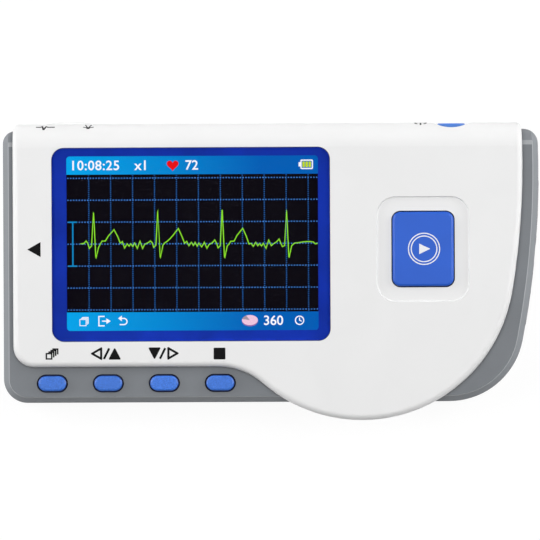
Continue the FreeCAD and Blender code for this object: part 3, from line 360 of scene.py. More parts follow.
def paint_edge_highlight(tree, shown, height, edge, colour):
    """Paints a highlight on the moulded corner at this height, and a lighter tone on the bevel
    below it for the light it catches.
    """
    band = 0.12 * MM
    rise = remap(tree, height, edge - 5.0 * MM, edge - 1.5 * MM, 0.0, 1.0)
    below = calculate(tree, "LESS_THAN", height, edge - 0.03 * MM)
    bevel_light = calculate(tree, "MULTIPLY", rise, below)
    # painted light: the bevel below the edge is made a shade lighter, for the side light that it
    # catches
    shown = blend_colours(tree, bevel_light, shown, linear(lighter(colour, 0.075)))
    # painted highlight: a thin band just under the edge is made much lighter, for the light that
    # its small rounding would catch
    corner = calculate(tree, "COMPARE", height, edge - band, band * 0.9)
    return blend_colours(tree, corner, shown, linear(lighter(colour, 0.3)))


def shade_corners(tree, shown, strength, colour):
    """Darkens the inner corners, where little of the sky is seen."""
    seen_sky = add_node(
        tree, "ShaderNodeAmbientOcclusion", {"Distance": 5.0 * MM}, samples=8).outputs["AO"]
    tucked = calculate(tree, "POWER", remap(tree, seen_sky, 0.5, 1.0, 1.0, 0.0), 1.3)
    share = calculate(tree, "MULTIPLY", tucked, strength)
    return blend_colours(tree, share, shown, linear(darker(colour, 0.3)))


def plastic(name, colour, roughness, depth=0.004, spread=0.08, wear=0.15, coat=0.0, deep=0.985,
            specular=0.5, speck=0.0, foot=None, edge=None, corners=None):
    """Moulded plastic.

    A foot is a height, a softness and the colour painted below it as shade, for the gap round a
    key.
    An edge is a height just under which a painted highlight shows a moulded corner catching the
    light. Corners is how dark the inner corners go.
    """
    shell = bpy.context.scene.recorder_shell
    made, tree, shader = new_material(name)
    grain = add_group(tree, grain_group, "Moulded grain", {
        "Colour": linear(colour), "Deep colour": linear(darker(colour, deep)),
        "Grain scale": 1.0 / shell.grain, "Cloud scale": 1.0 / shell.cloud,
        "Roughness": roughness, "Spread": spread, "Wear": wear, "Speck": speck})
    shown = grain.outputs["Colour"]
    if foot or edge:
        height = axes_of(tree, object_place(tree))[2]
    # painted shade: below the foot's height the colour goes to the shade colour, for the shadow in
    # the gap round a key
    if foot:
        top, softness, shade_colour = foot
        share = remap(tree, height, top - softness, top, 1.0, 0.0)
        shown = blend_colours(tree, share, shown, linear(shade_colour))
    if edge:
        shown = paint_edge_highlight(tree, shown, height, edge, colour)
    if corners:
        shown = shade_corners(tree, shown, corners, colour)
    set_inputs(tree, shader, {
        "Base Color": shown, "Roughness": grain.outputs["Roughness"],
        "Specular IOR Level": specular, "Coat Weight": coat, "Coat Roughness": 0.12})
    roughen(tree, shader, grain.outputs["Height"], depth * MM, 0.6)
    return made


def metal(name, colour, stretch, roughness=0.28, scale=400.0, spread=0.15, dull=0.82):
    made, tree, shader = new_material(name)
    lines = add_group(tree, brushed_group, "Brushed metal", {
        "Colour": linear(colour), "Dull colour": linear(darker(colour, dull)),
        "Stretch": stretch, "Line scale": scale, "Roughness": roughness, "Spread": spread})
    set_inputs(tree, shader, {
        "Base Color": lines.outputs["Colour"], "Roughness": lines.outputs["Roughness"],
        "Metallic": 1.0})
    roughen(tree, shader, lines.outputs["Height"], 0.003 * MM, 0.5)
    return made


def glow(tree, shader, colour, strength, depth, unlit=(0.02, 0.02, 0.025)):
    """Lights a surface through the screen's raster."""
    raster = add_group(tree, pixel_group, "Screen raster", {"Colour": colour, "Depth": depth})
    set_inputs(tree, shader, {
        "Base Color": linear(unlit), "Roughness": 0.5, "Specular IOR Level": 0.0,
        "Emission Color": raster.outputs["Colour"], "Emission Strength": strength})


def lit(name, colour, strength=1.0, depth=0.12, **options):
    """A lit part of the screen picture in one colour."""
    made, tree, shader = new_material(name)
    glow(tree, shader, linear(colour), strength, depth, **options)
    return made


def lit_bars(screen):
    """The bars' colour runs from cyan at the left to blue at the right."""
    made, tree, shader = new_material("Picture bars")
    x = axes_of(tree, object_place(tree))[0]
    half, middle = screen.length / 2, PICTURE_MIDDLE.x * MM
    share = remap(tree, x, middle - half, middle + half * 0.55, 0.0, 1.0)
    shade = blend_colours(tree, share, linear(screen.bar_left), linear(screen.bar_right))
    glow(tree, shader, shade, strength=1.0, depth=0.08)
    return made


def lens_material():
    """Clear acrylic. Light for the print and the screen passes it without a shadow."""
    made, tree = empty_material("Clear lens")
    shader = add_node(tree, "ShaderNodeBsdfPrincipled", {
        "Base Color": (1, 1, 1, 1), "Roughness": 0.0, "IOR": 1.36, "Transmission Weight": 1.0})
    wave = noise(tree, object_place(tree), 45.0, detail=1.0)
    roughen(tree, shader, wave, 0.01 * MM, 0.15)
    shadow = add_node(tree, "ShaderNodeLightPath").outputs["Is Shadow Ray"]
    clear = first_of(tree, "ShaderNodeBsdfTransparent")
    mixed = blend_shaders(tree, shadow, shader.outputs[0], clear)
    add_node(tree, "ShaderNodeOutputMaterial", {0: mixed})
    return made


def cell_material():
    """A plain two-colour battery wrap with a bare can at the ends."""
    made, tree, shader = new_material("Battery wrap")
    # one cell has its band at the left end, the cell beyond the line between them at the right
    between, left_end, right_end = -13.0 * MM, -32.5 * MM, 16.0 * MM
    band_length, rim = 12.5 * MM, 1.4 * MM
    place = object_place(tree)
    x, y, _ = axes_of(tree, place)
    beyond = calculate(tree, "GREATER_THAN", y, between)
    from_left = calculate(tree, "SUBTRACT", x, left_end)
    from_right = calculate(tree, "SUBTRACT", right_end, x)
    along = blend_numbers(tree, beyond, from_left, from_right)
    band = calculate(tree, "LESS_THAN", along, band_length)
    bare = calculate(tree, "LESS_THAN", along, rim)
    wrap = blend_colours(tree, band, linear((0.13, 0.14, 0.16)), linear((0.72, 0.52, 0.22)))
    speck = noise(tree, place, 1500.0)
    set_inputs(tree, shader, {
        "Base Color": blend_colours(tree, bare, wrap, linear((0.72, 0.72, 0.73))),
        "Metallic": bare, "Roughness": remap(tree, speck, 0.3, 0.7, 0.25, 0.38)})
    roughen(tree, shader, speck, 0.003 * MM, 0.4)
    return made


def board_material():
    """Green solder mask over tracks that run across and along the board."""
    made, tree, shader = new_material("Green board")
    black, white = (0, 0, 0, 1), (1, 1, 1, 1)
    tracks = first_of(
        tree, "ShaderNodeTexBrick",
        {"Vector": object_place(tree), "Scale": 220.0, "Mortar Size": 0.03, "Color1": black,
         "Color2": black, "Mortar": white})
    shade = blend_colours(tree, tracks, linear((0.03, 0.27, 0.13)), linear((0.09, 0.40, 0.20)))
    set_inputs(tree, shader, {"Base Color": shade, "Roughness": 0.3})
    roughen(tree, shader, tracks, 0.02 * MM, 0.5)
    return made


def ink_material(name, colour):
    made, tree, shader = new_material(name)
    grit = noise(tree, object_place(tree), 5200.0, detail=3.0)
    share = remap(tree, grit, 0.35, 0.7, 0.0, 1.0)
    set_inputs(tree, shader, {
        "Base Color": blend_colours(tree, share, linear(colour), linear(darker(colour, 0.93))),
        "Roughness": remap(tree, grit, 0.3, 0.7, 0.42, 0.55), "Specular IOR Level": 0.12})
    roughen(tree, shader, grit, 0.004 * MM, 0.5)
    return made


# ---------------------------------------------------------------- outlines, in millimetres
def placed(points, x, y):
    return [(x + across, y + up) for across, up in points]


def box_points(left, low, right, high):
    return [(left, low), (right, low), (right, high), (left, high)]


def circle_points(x, y, radius, count, start=0.0, end=360.0):
    closed = abs(end - start) >= 360.0
    steps = count if closed else count - 1
    turns = [math.radians(start + (end - start) * index / steps) for index in range(count)]
    return [(x + radius * math.cos(turn), y + radius * math.sin(turn)) for turn in turns]


def rounded_points(x, y, length, width, radius, corner=8):
    points = []
    for turn, (side, rise) in enumerate(((1, 1), (-1, 1), (-1, -1), (1, -1))):
        points += circle_points(
            x + side * (length / 2 - radius), y + rise * (width / 2 - radius), radius,
            corner, 90.0 * turn, 90.0 * turn + 90.0)
    return points


def heart_points(x, y, size):
    """A heart of this width, drawn with the well-known curve that is 32 wide."""
    points, count = [], 40
    for index in range(count):
        turn = 2 * math.pi * index / count
        across = 16 * math.sin(turn) ** 3
        up = (13 * math.cos(turn) - 5 * math.cos(2 * turn) - 2 * math.cos(3 * turn)
              - math.cos(4 * turn))
        points.append((x + across * size / 32, y + up * size / 32))
    return points[::-1]


def softened(points, radius):
    """The closed outline with each corner replaced by a small arc."""
    made, count, steps = [], len(points), 4
    for index, point in enumerate(points):
        here = Vector(point)
        before = (Vector(points[index - 1]) - here).normalized()
        after = (Vector(points[(index + 1) % count]) - here).normalized()
        half = before.angle(after) / 2
        cut = radius / math.tan(half)
        middle = here + (before + after).normalized() * (radius / math.sin(half))
        start = here + before * cut - middle
        sweep = start.angle_signed(here + after * cut - middle)
        for step in range(steps + 1):
            turned = start.copy()
            turned.rotate(Matrix.Rotation(-sweep * step / steps, 2))
            made.append(tuple(middle + turned))
    return made


def shifted(points, distance, closed):
    """The line moved sideways by a distance, to its left, with mitred corners."""
    moved, count = [], len(points)
    for index, point in enumerate(points):
        here = Vector(point)
        ways = []
        if closed or index:
            ways.append((here - Vector(points[index - 1])).normalized())
        if closed or index < count - 1:
            ways.append((Vector(points[(index + 1) % count]) - here).normalized())
        normals = [Vector((-way.y, way.x)) for way in ways]
        middle = sum(normals, Vector((0, 0))).normalized()
        reach = distance / max(middle.dot(normals[0]), 0.35)
        moved.append(tuple(here + middle * reach))
    return moved


# ---------------------------------------------------------------- flat shapes
def add_prism(mesh, outer, low, high, holes=()):
    """A closed plate with the given outline and holes."""
    loops = [outer, *holes]
    spots = [spot for loop in loops for spot in loop]
    bottom = [mesh.verts.new((x, y, low)) for x, y in spots]
    top = [mesh.verts.new((x, y, high)) for x, y in spots]
    flat = [[Vector((x, y, 0)) for x, y in loop] for loop in loops]
    faces = []
    for a, b, c in tessellate_polygon(flat):
        faces.append(mesh.faces.new((top[a], top[b], top[c])))
        faces.append(mesh.faces.new((bottom[c], bottom[b], bottom[a])))
    first = 0
    for loop in loops:
        count = len(loop)
        for index in range(count):
            a, b = first + index, first + (index + 1) % count
            faces.append(mesh.faces.new((bottom[a], bottom[b], top[b], top[a])))
        first += count
    bmesh.ops.recalc_face_normals(mesh, faces=faces)


def add_stroke(mesh, points, width, low, high, closed=False, soft=0.0):
    """A line of this width. Soft is the radius of a closed line's outer corners."""
    left, right = (shifted(points, side * width / 2, closed) for side in (1, -1))
    if not closed:
        add_prism(mesh, left + right[::-1], low, high)
        return
    start = Vector(points[0])
    inner, outer = sorted(
        (left, right), key=lambda loop: sum((Vector(spot) - start).length for spot in loop))
    if soft:
        outer = softened(outer, soft)
    add_prism(mesh, outer, low, high, [inner])


def add_ring(mesh, x, y, diameter, line, low, high, count=72):
    outer = circle_points(x, y, diameter / 2, count)
    inner = circle_points(x, y, diameter / 2 - line, count)
    add_prism(mesh, outer, low, high, [inner])


def add_page_stack(mesh, x, y, side, step, line, low, high, copies=3):
    """Leaves, one behind the other, with the front one whole."""
    front = box_points(x, y, x + side, y + side)
    add_stroke(mesh, front, line, low, high, closed=True)
    for index in range(1, copies + 1):
        leaf = placed(front[:0:-1], step[0] * index, step[1] * index)
        add_stroke(mesh, leaf, line, low, high)


def add_number(mesh, text, x, y, height, low, high, spacing):
    """A number as a flat plate, with its lower left corner at the given place."""
    curve = bpy.data.curves.new("number", "FONT")
    curve.body = text
    curve.size = 1.0
    curve.space_character = spacing
    curve.resolution_u = 4
    curve.offset = 0.012
    curve.extrude = 0.01
    drawn = evaluated_mesh(add_object("number", curve))
    bpy.data.curves.remove(curve)
    corners = [[spot.co[axis] for spot in drawn.vertices] for axis in range(3)]
    least, most = Vector(map(min, corners)), Vector(map(max, corners))
    size = height / (most.y - least.y)
    flatten = (high - low) / (most.z - least.z)
    drawn.transform(
        Matrix.Translation((x, y, low)) @ Matrix.Diagonal((size, size, flatten, 1.0))
        @ Matrix.Translation(-least))
    mesh.from_mesh(drawn)
    bpy.data.meshes.remove(drawn)


# ---------------------------------------------------------------- pieces
def add_object(name, data):
    made = bpy.data.objects.new(name, data)
    bpy.context.scene.collection.objects.link(made)
    return made


def evaluated_mesh(holder):
    """The object's finished shape as a plain mesh. The object itself is removed."""
    graph = bpy.context.evaluated_depsgraph_get()
    made = bpy.data.meshes.new_from_object(holder.evaluated_get(graph))
    bpy.data.objects.remove(holder)
    return made


def add_piece(name, data, body):
    """A named piece that rides on its body."""
    piece = add_object(name, data)
    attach(piece, body)


def finish_piece(name, mesh, material, body=HOUSING):
    """Turns the drawn mesh, in millimetres, into a named piece, in metres."""
    bmesh.ops.remove_doubles(mesh, verts=mesh.verts, dist=0.0004)
    bmesh.ops.recalc_face_normals(mesh, faces=mesh.faces)
    bmesh.ops.scale(mesh, vec=(MM, MM, MM), verts=mesh.verts)
    data = bpy.data.meshes.new(name)
    mesh.to_mesh(data)
    mesh.free()
    data.materials.append(material)
    add_piece(name, data, body)


def add_plates(name, outlines, low, high, material):
    """A piece of the screen picture that is made of flat plates."""
    mesh = bmesh.new()
    for outline in outlines:
        add_prism(mesh, outline, low, high)
    finish_piece(name, mesh, material)


def grown_piece(name, tree, values, level, source=None):
    """A piece made by a geometry tree, turned into a plain mesh at a level."""
    holder = add_object(name, source or bpy.data.meshes.new(name))
    growth = holder.modifiers.new("Growth", "NODES")
    growth.node_group = tree
    sockets = {
        item.name: item.identifier for item in tree.interface.items_tree
        if item.item_type == "SOCKET" and item.in_out == "INPUT"}
    for key, value in values.items():
        growth[sockets[key]] = value
    data = evaluated_mesh(holder)
    data.transform(Matrix.Translation((0, 0, level * MM)))
    data.name = name
    add_piece(name, data, HOUSING)


# ---------------------------------------------------------------- geometry trees
def growth_tree(name, inputs):
    """An empty geometry tree for a modifier, with these inputs after the geometry."""
    tree, taken, given = new_group(
        name, "GeometryNodeTree", [("Geometry", GEOMETRY, None), *inputs],
        [("Geometry", GEOMETRY)])
    tree.is_modifier = True
    return tree, taken, given


def finish_growth(tree, given, grown, material):
    """Ends the tree with real geometry in its material."""
    real = first_of(tree, "GeometryNodeRealizeInstances", {"Geometry": grown})
    coated = first_of(
        tree, "GeometryNodeSetMaterial", {"Geometry": real, "Material": material})
    set_inputs(tree, given, {"Geometry": coated})
    return tree


def rows_tree(name, material):
    """Rows of small blocks: dots of a grid, contact strips or any repeated plate."""
    tree, taken, given = growth_tree(name, [
        ("Across", WHOLE, 2), ("Along", WHOLE, 2), ("Pitch across", NUMBER, 0.001),
        ("Pitch along", NUMBER, 0.001), ("Block length", NUMBER, 0.0002),
        ("Block width", NUMBER, 0.0002), ("Block height", NUMBER, 0.00001),
        ("Middle X", NUMBER, 0.0), ("Middle Y", NUMBER, 0.0)])
    length, width = (
        calculate(tree, "MULTIPLY", calculate(tree, "SUBTRACT", taken[count], 1.0), taken[pitch])
        for count, pitch in (("Across", "Pitch across"), ("Along", "Pitch along")))
    places = first_of(
        tree, "GeometryNodeMeshGrid",
        {"Size X": length, "Size Y": width, "Vertices X": taken["Across"],
         "Vertices Y": taken["Along"]})
    size = vector_of(tree, taken["Block length"], taken["Block width"], taken["Block height"])
    block = first_of(tree, "GeometryNodeMeshCube", {"Size": size})
    blocks = first_of(
        tree, "GeometryNodeInstanceOnPoints", {"Points": places, "Instance": block})
    lift = calculate(tree, "MULTIPLY", taken["Block height"], 0.5)
    middle = vector_of(tree, taken["Middle X"], taken["Middle Y"], lift)
    moved = first_of(
        tree, "GeometryNodeTransform", {"Geometry": blocks, "Translation": middle})
    return finish_growth(tree, given, moved, material)


def trace_tree(material):
    """Repeats one heart beat along the picture, unsettles it a little and gives it a width."""
    tree, taken, given = growth_tree("Heart trace", [
        ("Beats", WHOLE, 4), ("Beat pitch", NUMBER, 0.015), ("Line width", NUMBER, 0.0003),
        ("Line height", NUMBER, 0.00002), ("Tremor", NUMBER, 0.0004), ("Seed", WHOLE, 6),
        ("Quiet from", NUMBER, 0.01), ("Right end", NUMBER, 0.01),
        ("Calm level", NUMBER, 0.0012), ("Baseline", NUMBER, 0.0)])
    step = vector_of(tree, taken["Beat pitch"])
    starts = first_of(
        tree, "GeometryNodeMeshLine", {"Count": taken["Beats"], "Offset": step}, mode="OFFSET")
    beats = first_of(
        tree, "GeometryNodeInstanceOnPoints",
        {"Points": starts, "Instance": taken["Geometry"]})
    real = first_of(tree, "GeometryNodeRealizeInstances", {"Geometry": beats})
    joined = first_of(
        tree, "GeometryNodeMergeByDistance", {"Geometry": real, "Distance": 0.00002})
    place = first_of(tree, "GeometryNodeInputPosition")
    x, y, z = axes_of(tree, place)
    chance = add_node(
        tree, "FunctionNodeRandomValue", {2: -1.0, 3: 1.0, "Seed": taken["Seed"]},
        data_type="FLOAT").outputs[1]
    rise = calculate(tree, "SUBTRACT", y, taken["Baseline"])
    size = calculate(tree, "ABSOLUTE", rise)
    calm = calculate(tree, "LESS_THAN", size, taken["Calm level"])
    quiet = calculate(tree, "GREATER_THAN", x, taken["Quiet from"])
    # small steps are shaken freely, the peaks only by a share of their height
    free = calculate(tree, "MAXIMUM", calm, quiet)
    peak_shake = calculate(tree, "MULTIPLY", size, 0.05)
    reach = blend_numbers(tree, free, peak_shake, taken["Tremor"])
    share = calculate(tree, "MULTIPLY_ADD", quiet, -0.88, 1.0)
    lowered = calculate(tree, "MULTIPLY_ADD", rise, share, taken["Baseline"])
    level = calculate(tree, "MULTIPLY_ADD", chance, reach, lowered)
    moved = first_of(
        tree, "GeometryNodeSetPosition",
        {"Geometry": joined, "Position": vector_of(tree, x, level, z)})
    past = calculate(tree, "GREATER_THAN", x, taken["Right end"])
    kept = first_of(
        tree, "GeometryNodeDeleteGeometry", {"Geometry": moved, "Selection": past},
        domain="POINT")
    path = first_of(tree, "GeometryNodeMeshToCurve", {"Mesh": kept})
    line = first_of(tree, "GeometryNodeSetCurveNormal", {"Curve": path}, mode="Z_UP")
    section = first_of(
        tree, "GeometryNodeCurvePrimitiveQuadrilateral",
        {"Width": taken["Line width"], "Height": taken["Line height"]})
    # the section is widened at each corner, so that the line keeps its width round it
    ahead = add_node(tree, "GeometryNodeOffsetPointInCurve", {"Offset": 1}).outputs
    further = first_of(
        tree, "GeometryNodeFieldAtIndex", {"Value": place, "Index": ahead["Point Index"]},
        data_type="FLOAT_VECTOR")
    way = first_of(tree, "ShaderNodeVectorMath", {0: further, 1: place}, operation="SUBTRACT")
    unit = first_of(tree, "ShaderNodeVectorMath", {0: way}, operation="NORMALIZE")
    tangent = first_of(tree, "GeometryNodeInputTangent")
    bend = add_node(
        tree, "ShaderNodeVectorMath", {0: unit, 1: tangent},
        operation="DOT_PRODUCT").outputs["Value"]
    widened = calculate(tree, "DIVIDE", 1.0, calculate(tree, "MAXIMUM", bend, 0.4))
    scale = blend_numbers(tree, ahead["Is Valid Offset"], 1.0, widened)
    ribbon = first_of(
        tree, "GeometryNodeCurveToMesh",
        {"Curve": line, "Profile Curve": section, "Scale": scale, "Fill Caps": True})
    return finish_growth(tree, given, ribbon, material)


# ---------------------------------------------------------------- finishes of the model's parts
def dress(names, material):
    for name in names:
        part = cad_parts[name].data
        part.materials.clear()
        part.materials.append(material)


class RECORDER_OT_shell(bpy.types.Operator):
    """Gives the cover, the grey case, the keys and the flap their moulded finishes."""

    bl_idname = "recorder.shell"
    bl_label = "Shell and Keys"

    def execute(self, context):
        shell = context.scene.recorder_shell
        # the dark feet of the keys are painted shade, for the shadow in the gaps round them
        start_foot_shade = START_HIGH.z * MM - 0.6 * MM, 0.3 * MM, darker(shell.start, 0.36)
        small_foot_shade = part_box("menu_key")[1].z - 0.1 * MM, 0.2 * MM, shell.small_foot_shade
        dress(("front_cover", "port_cover"),
              plastic("White cover", shell.cover, roughness=0.40, wear=0.06, deep=0.992))
        # the grey case gets a painted highlight at the ledge's edge, a painted lighter bevel and
        # painted shade in its inner corners
        dress(("front_frame", "rear_case", "battery_cover"),
              plastic("Grey case", shell.case, roughness=0.46, spread=0.12, depth=0.008,
                      wear=0.35, deep=0.96, speck=0.12, edge=LEDGE, corners=0.5))
        dress(("start_key",),
              plastic("Blue start key", shell.start, roughness=0.46, coat=0.08, deep=0.96,
                      foot=start_foot_shade))
        dress(KEY_NODES,
              plastic("Blue small keys", shell.small, roughness=0.42, spread=0.2, depth=0.012,
                      deep=0.95, speck=0.9, foot=small_foot_shade))
        dress(("power_key",), plastic("Blue power key", shell.power, roughness=0.4))
        return {"FINISHED"}


class RECORDER_OT_fittings(bpy.types.Operator):
    """Gives the electrodes, screws, sockets and everything inside the case their finishes."""

    bl_idname = "recorder.fittings"
    bl_label = "Fittings and Inside"

    def execute(self, context):
        bright, steel, black = (0.80, 0.80, 0.81), (0.68, 0.69, 0.71), (0.09, 0.09, 0.10)
        dress(("left_electrode", "finger_electrode", "palm_electrode"),
              metal("Brushed electrode", bright, (1.0, 0.02, 1.0), roughness=0.30,
                    scale=3200.0, spread=0.22, dull=0.97))
        dress(("case_screws", "board_screws", "port_cover_pin"),
              metal("Plated screw", steel, (1.0, 1.0, 0.1), roughness=0.35, scale=2500.0))
        dress(("lcd_frame", "amplifier_shield", "key_switches", "usb_socket"),
              metal("Nickel sheet", steel, (0.2, 1.0, 1.0), roughness=0.32, scale=900.0))
        dress(("positive_contact", "negative_spring", "bridge_contact", "electrode_springs"),
              metal("Contact metal", (0.79, 0.77, 0.70), (1, 1, 1), roughness=0.25))
        dress(("lead_socket", "flex_connector", "usb_tongue", "power_switch"),
              plastic("Black socket plastic", black, roughness=0.5, wear=0.3))
        dress(("board_chips", "buzzer"),
              plastic("Matt chip black", (0.11, 0.11, 0.12), roughness=0.62, wear=0.5))
        dress(("window_gasket",),
              plastic("Black foam", (0.05, 0.05, 0.05), roughness=0.95, depth=0.06, wear=0.0))
        dress(("lcd_panel",),
              plastic("Screen glass", (0.045, 0.045, 0.055), roughness=0.12, depth=0.001,
                      wear=0.0))
        dress(("lcd_backlight",), plastic("White tray", (0.87, 0.87, 0.86), roughness=0.5))
        dress(("lcd_flex",), plastic("Amber film", (0.72, 0.42, 0.10), roughness=0.3, coat=0.4))
        dress(("board_passives",), plastic("Tan ceramic", (0.60, 0.48, 0.36), roughness=0.5))
        dress(("start_plunger", "menu_plunger", "left_up_plunger", "down_right_plunger",
               "select_plunger", "power_plunger"),
              plastic("Black plunger", black, roughness=0.45))
        dress(("battery_1", "battery_2"), cell_material())
        dress(("main_board",), board_material())
        dress(("display_window",), lens_material())
        return {"FINISHED"}


# ---------------------------------------------------------------- screen
def picture_edges(screen):
    """The lit picture's left, right, bottom and top edge, in millimetres."""
    length, width = screen.length / MM, screen.width / MM
    left, low = PICTURE_MIDDLE.x - length / 2, PICTURE_MIDDLE.y - width / 2
    return left, left + length, low, low + width


class RECORDER_OT_border(bpy.types.Operator):
    """Prints the blue border behind the lens, open over the picture."""

    bl_idname = "recorder.border"
    bl_label = "Lens Border"

    def execute(self, context):
        screen = context.scene.recorder_screen
        # the print's distance from the lens's sides and from its lower face, and its thickness
        margin, lift, ink = 0.02, 0.004, 0.02
        size = LENS_HIGH - LENS_LOW
        outer = rounded_points(
            LENS_MIDDLE.x, LENS_MIDDLE.y, size.x - 2 * margin, size.y - 2 * margin, 2.8)
        inner = rounded_points(
            PICTURE_MIDDLE.x, PICTURE_MIDDLE.y, screen.length / MM, screen.width / MM,
            screen.corner / MM)
        low = LENS_LOW.z + lift
        mesh = bmesh.new()
        add_prism(mesh, outer, low, low + ink, [inner])
        made = plastic("Blue border ink", screen.border, roughness=0.5, wear=0.0, deep=0.9,
                       specular=0.0)
        finish_piece("lens_border", mesh, made)
        return {"FINISHED"}


class RECORDER_OT_picture(bpy.types.Operator):
    """Draws the picture's dark ground, its two bars, the dotted grid and the scale."""

    bl_idname = "recorder.picture"
    bl_label = "Screen Picture"

    def execute(self, context):
        screen = context.scene.recorder_screen
        left, right, low, high = picture_edges(screen)
        # the ground and the bars reach this far under the border
        under = 0.1
        ground = rounded_points(
            PICTURE_MIDDLE.x, PICTURE_MIDDLE.y, right - left + 2 * under,
            high - low + 2 * under, 0.4)
        add_plates("picture_ground", [ground], PANEL_HIGH.z, GROUND_TOP,
                   lit("Dark picture", (0.030, 0.018, 0.045), depth=0.5))
        bars = [
            box_points(left - under, y0, right + under, y1)
            for y0, y1 in ((low - under, low + screen.low_bar / MM),
                           (high - screen.top_bar / MM, high + under))]
        add_plates("picture_bars", bars, GROUND_TOP, BARS_TOP, lit_bars(screen))

        cell, row_pitch, column_pitch = screen.cell, screen.row_pitch, screen.column_pitch
        first_x, top_y = left + GRID_LEFT, high - GRID_TOP
        open_height = screen.width - screen.top_bar - screen.low_bar
        middle_x = PICTURE_MIDDLE.x * MM
        middle_y = PICTURE_MIDDLE.y * MM + (screen.low_bar - screen.top_bar) / 2
        grid = {
            "picture_rows": (
                int(screen.length / row_pitch) + 1, 7, row_pitch, cell, middle_x,
                top_y * MM - 3 * cell, screen.dots, 0.9),
            "picture_columns": (
                11, int(open_height / column_pitch) + 1, cell, column_pitch,
                first_x * MM + 5 * cell, middle_y, screen.column_dots, 0.62),
        }
        for name, (across, along, step_x, step_y, x, y, colour, power) in grid.items():
            dots = lit(name.replace("_", " ").capitalize(), colour, power, depth=0.2,
                       unlit=darker(colour, 0.6))
            values = {
                "Across": across, "Along": along, "Pitch across": step_x,
                "Pitch along": step_y, "Block length": screen.dot, "Block width": screen.dot,
                "Block height": 0.01 * MM, "Middle X": x, "Middle Y": y}
            grown_piece(name, rows_tree("Dotted " + name.split("_")[1], dots), values,
                        GROUND_TOP)

        scale = bmesh.new()
        x, half_tick = left + 1.38, 1.0
        ends = [top_y - cells * cell / MM for cells in (4, 2)]
        ticks = [[(x - half_tick, y), (x + half_tick, y)] for y in ends]
        for points in [[(x, y) for y in ends], *ticks]:
            add_stroke(scale, points, 0.32, *SCALE_LEVELS)
        finish_piece("picture_scale", scale, lit("Height scale", screen.scale))
        return {"FINISHED"}


class RECORDER_OT_trace(bpy.types.Operator):
    """Grows the heart trace from one drawn beat."""

    bl_idname = "recorder.trace"
    bl_label = "Heart Trace"

    def execute(self, context):
        screen = context.scene.recorder_screen
        left, right, _, high = picture_edges(screen)
        baseline = high - GRID_TOP - 3 * screen.cell / MM
        peak = left + FIRST_PEAK
        # one beat as steps from its peak: across and up, in millimetres
        beat = [
            (-3.09, 0.0), (-2.34, 0.1), (-1.75, 0.85), (-1.34, 0.0), (-0.99, -0.75),
            (-0.47, -0.3), (-0.03, 7.4), (0.03, 7.4), (0.50, -3.1), (0.58, -3.1),
            (1.17, -0.6), (1.58, 0.1), (1.99, 0.5), (2.75, 0.8),
            (3.45, 1.8), (4.79, 3.5), (5.6, 1.75), (6.25, 0.1),
            (6.72, 0.3), (7.24, -0.8), (7.83, 0.1), (8.29, -0.3), (8.70, 0.2), (9.17, -0.6),
            (9.58, 0.0), (10.22, -1.0), (10.85, 0.6), (11.45, -0.8), (11.95, 0.0)]
        data = bpy.data.meshes.new("one_beat")
        spots = [(x * MM, y * MM, 0.0) for x, y in placed(beat, peak, baseline)]
        data.from_pydata(spots, [(index, index + 1) for index in range(len(spots) - 1)], [])
        # the line goes quiet just after the last peak and ends just inside the picture
        quiet_from = peak * MM + (screen.beats - 1) * screen.beat_pitch + 1.3 * MM
        right_end = right * MM - 0.1 * MM
        values = {
            "Beats": screen.beats, "Beat pitch": screen.beat_pitch, "Line width": screen.line,
            "Line height": 0.02 * MM, "Tremor": 0.32 * MM, "Seed": 6,
            "Quiet from": quiet_from, "Right end": right_end, "Calm level": 1.3 * MM,
            "Baseline": baseline * MM}
        grown_piece("heart_trace", trace_tree(lit("Green trace", screen.trace)), values,
                    TRACE_LEVEL, source=data)
        return {"FINISHED"}


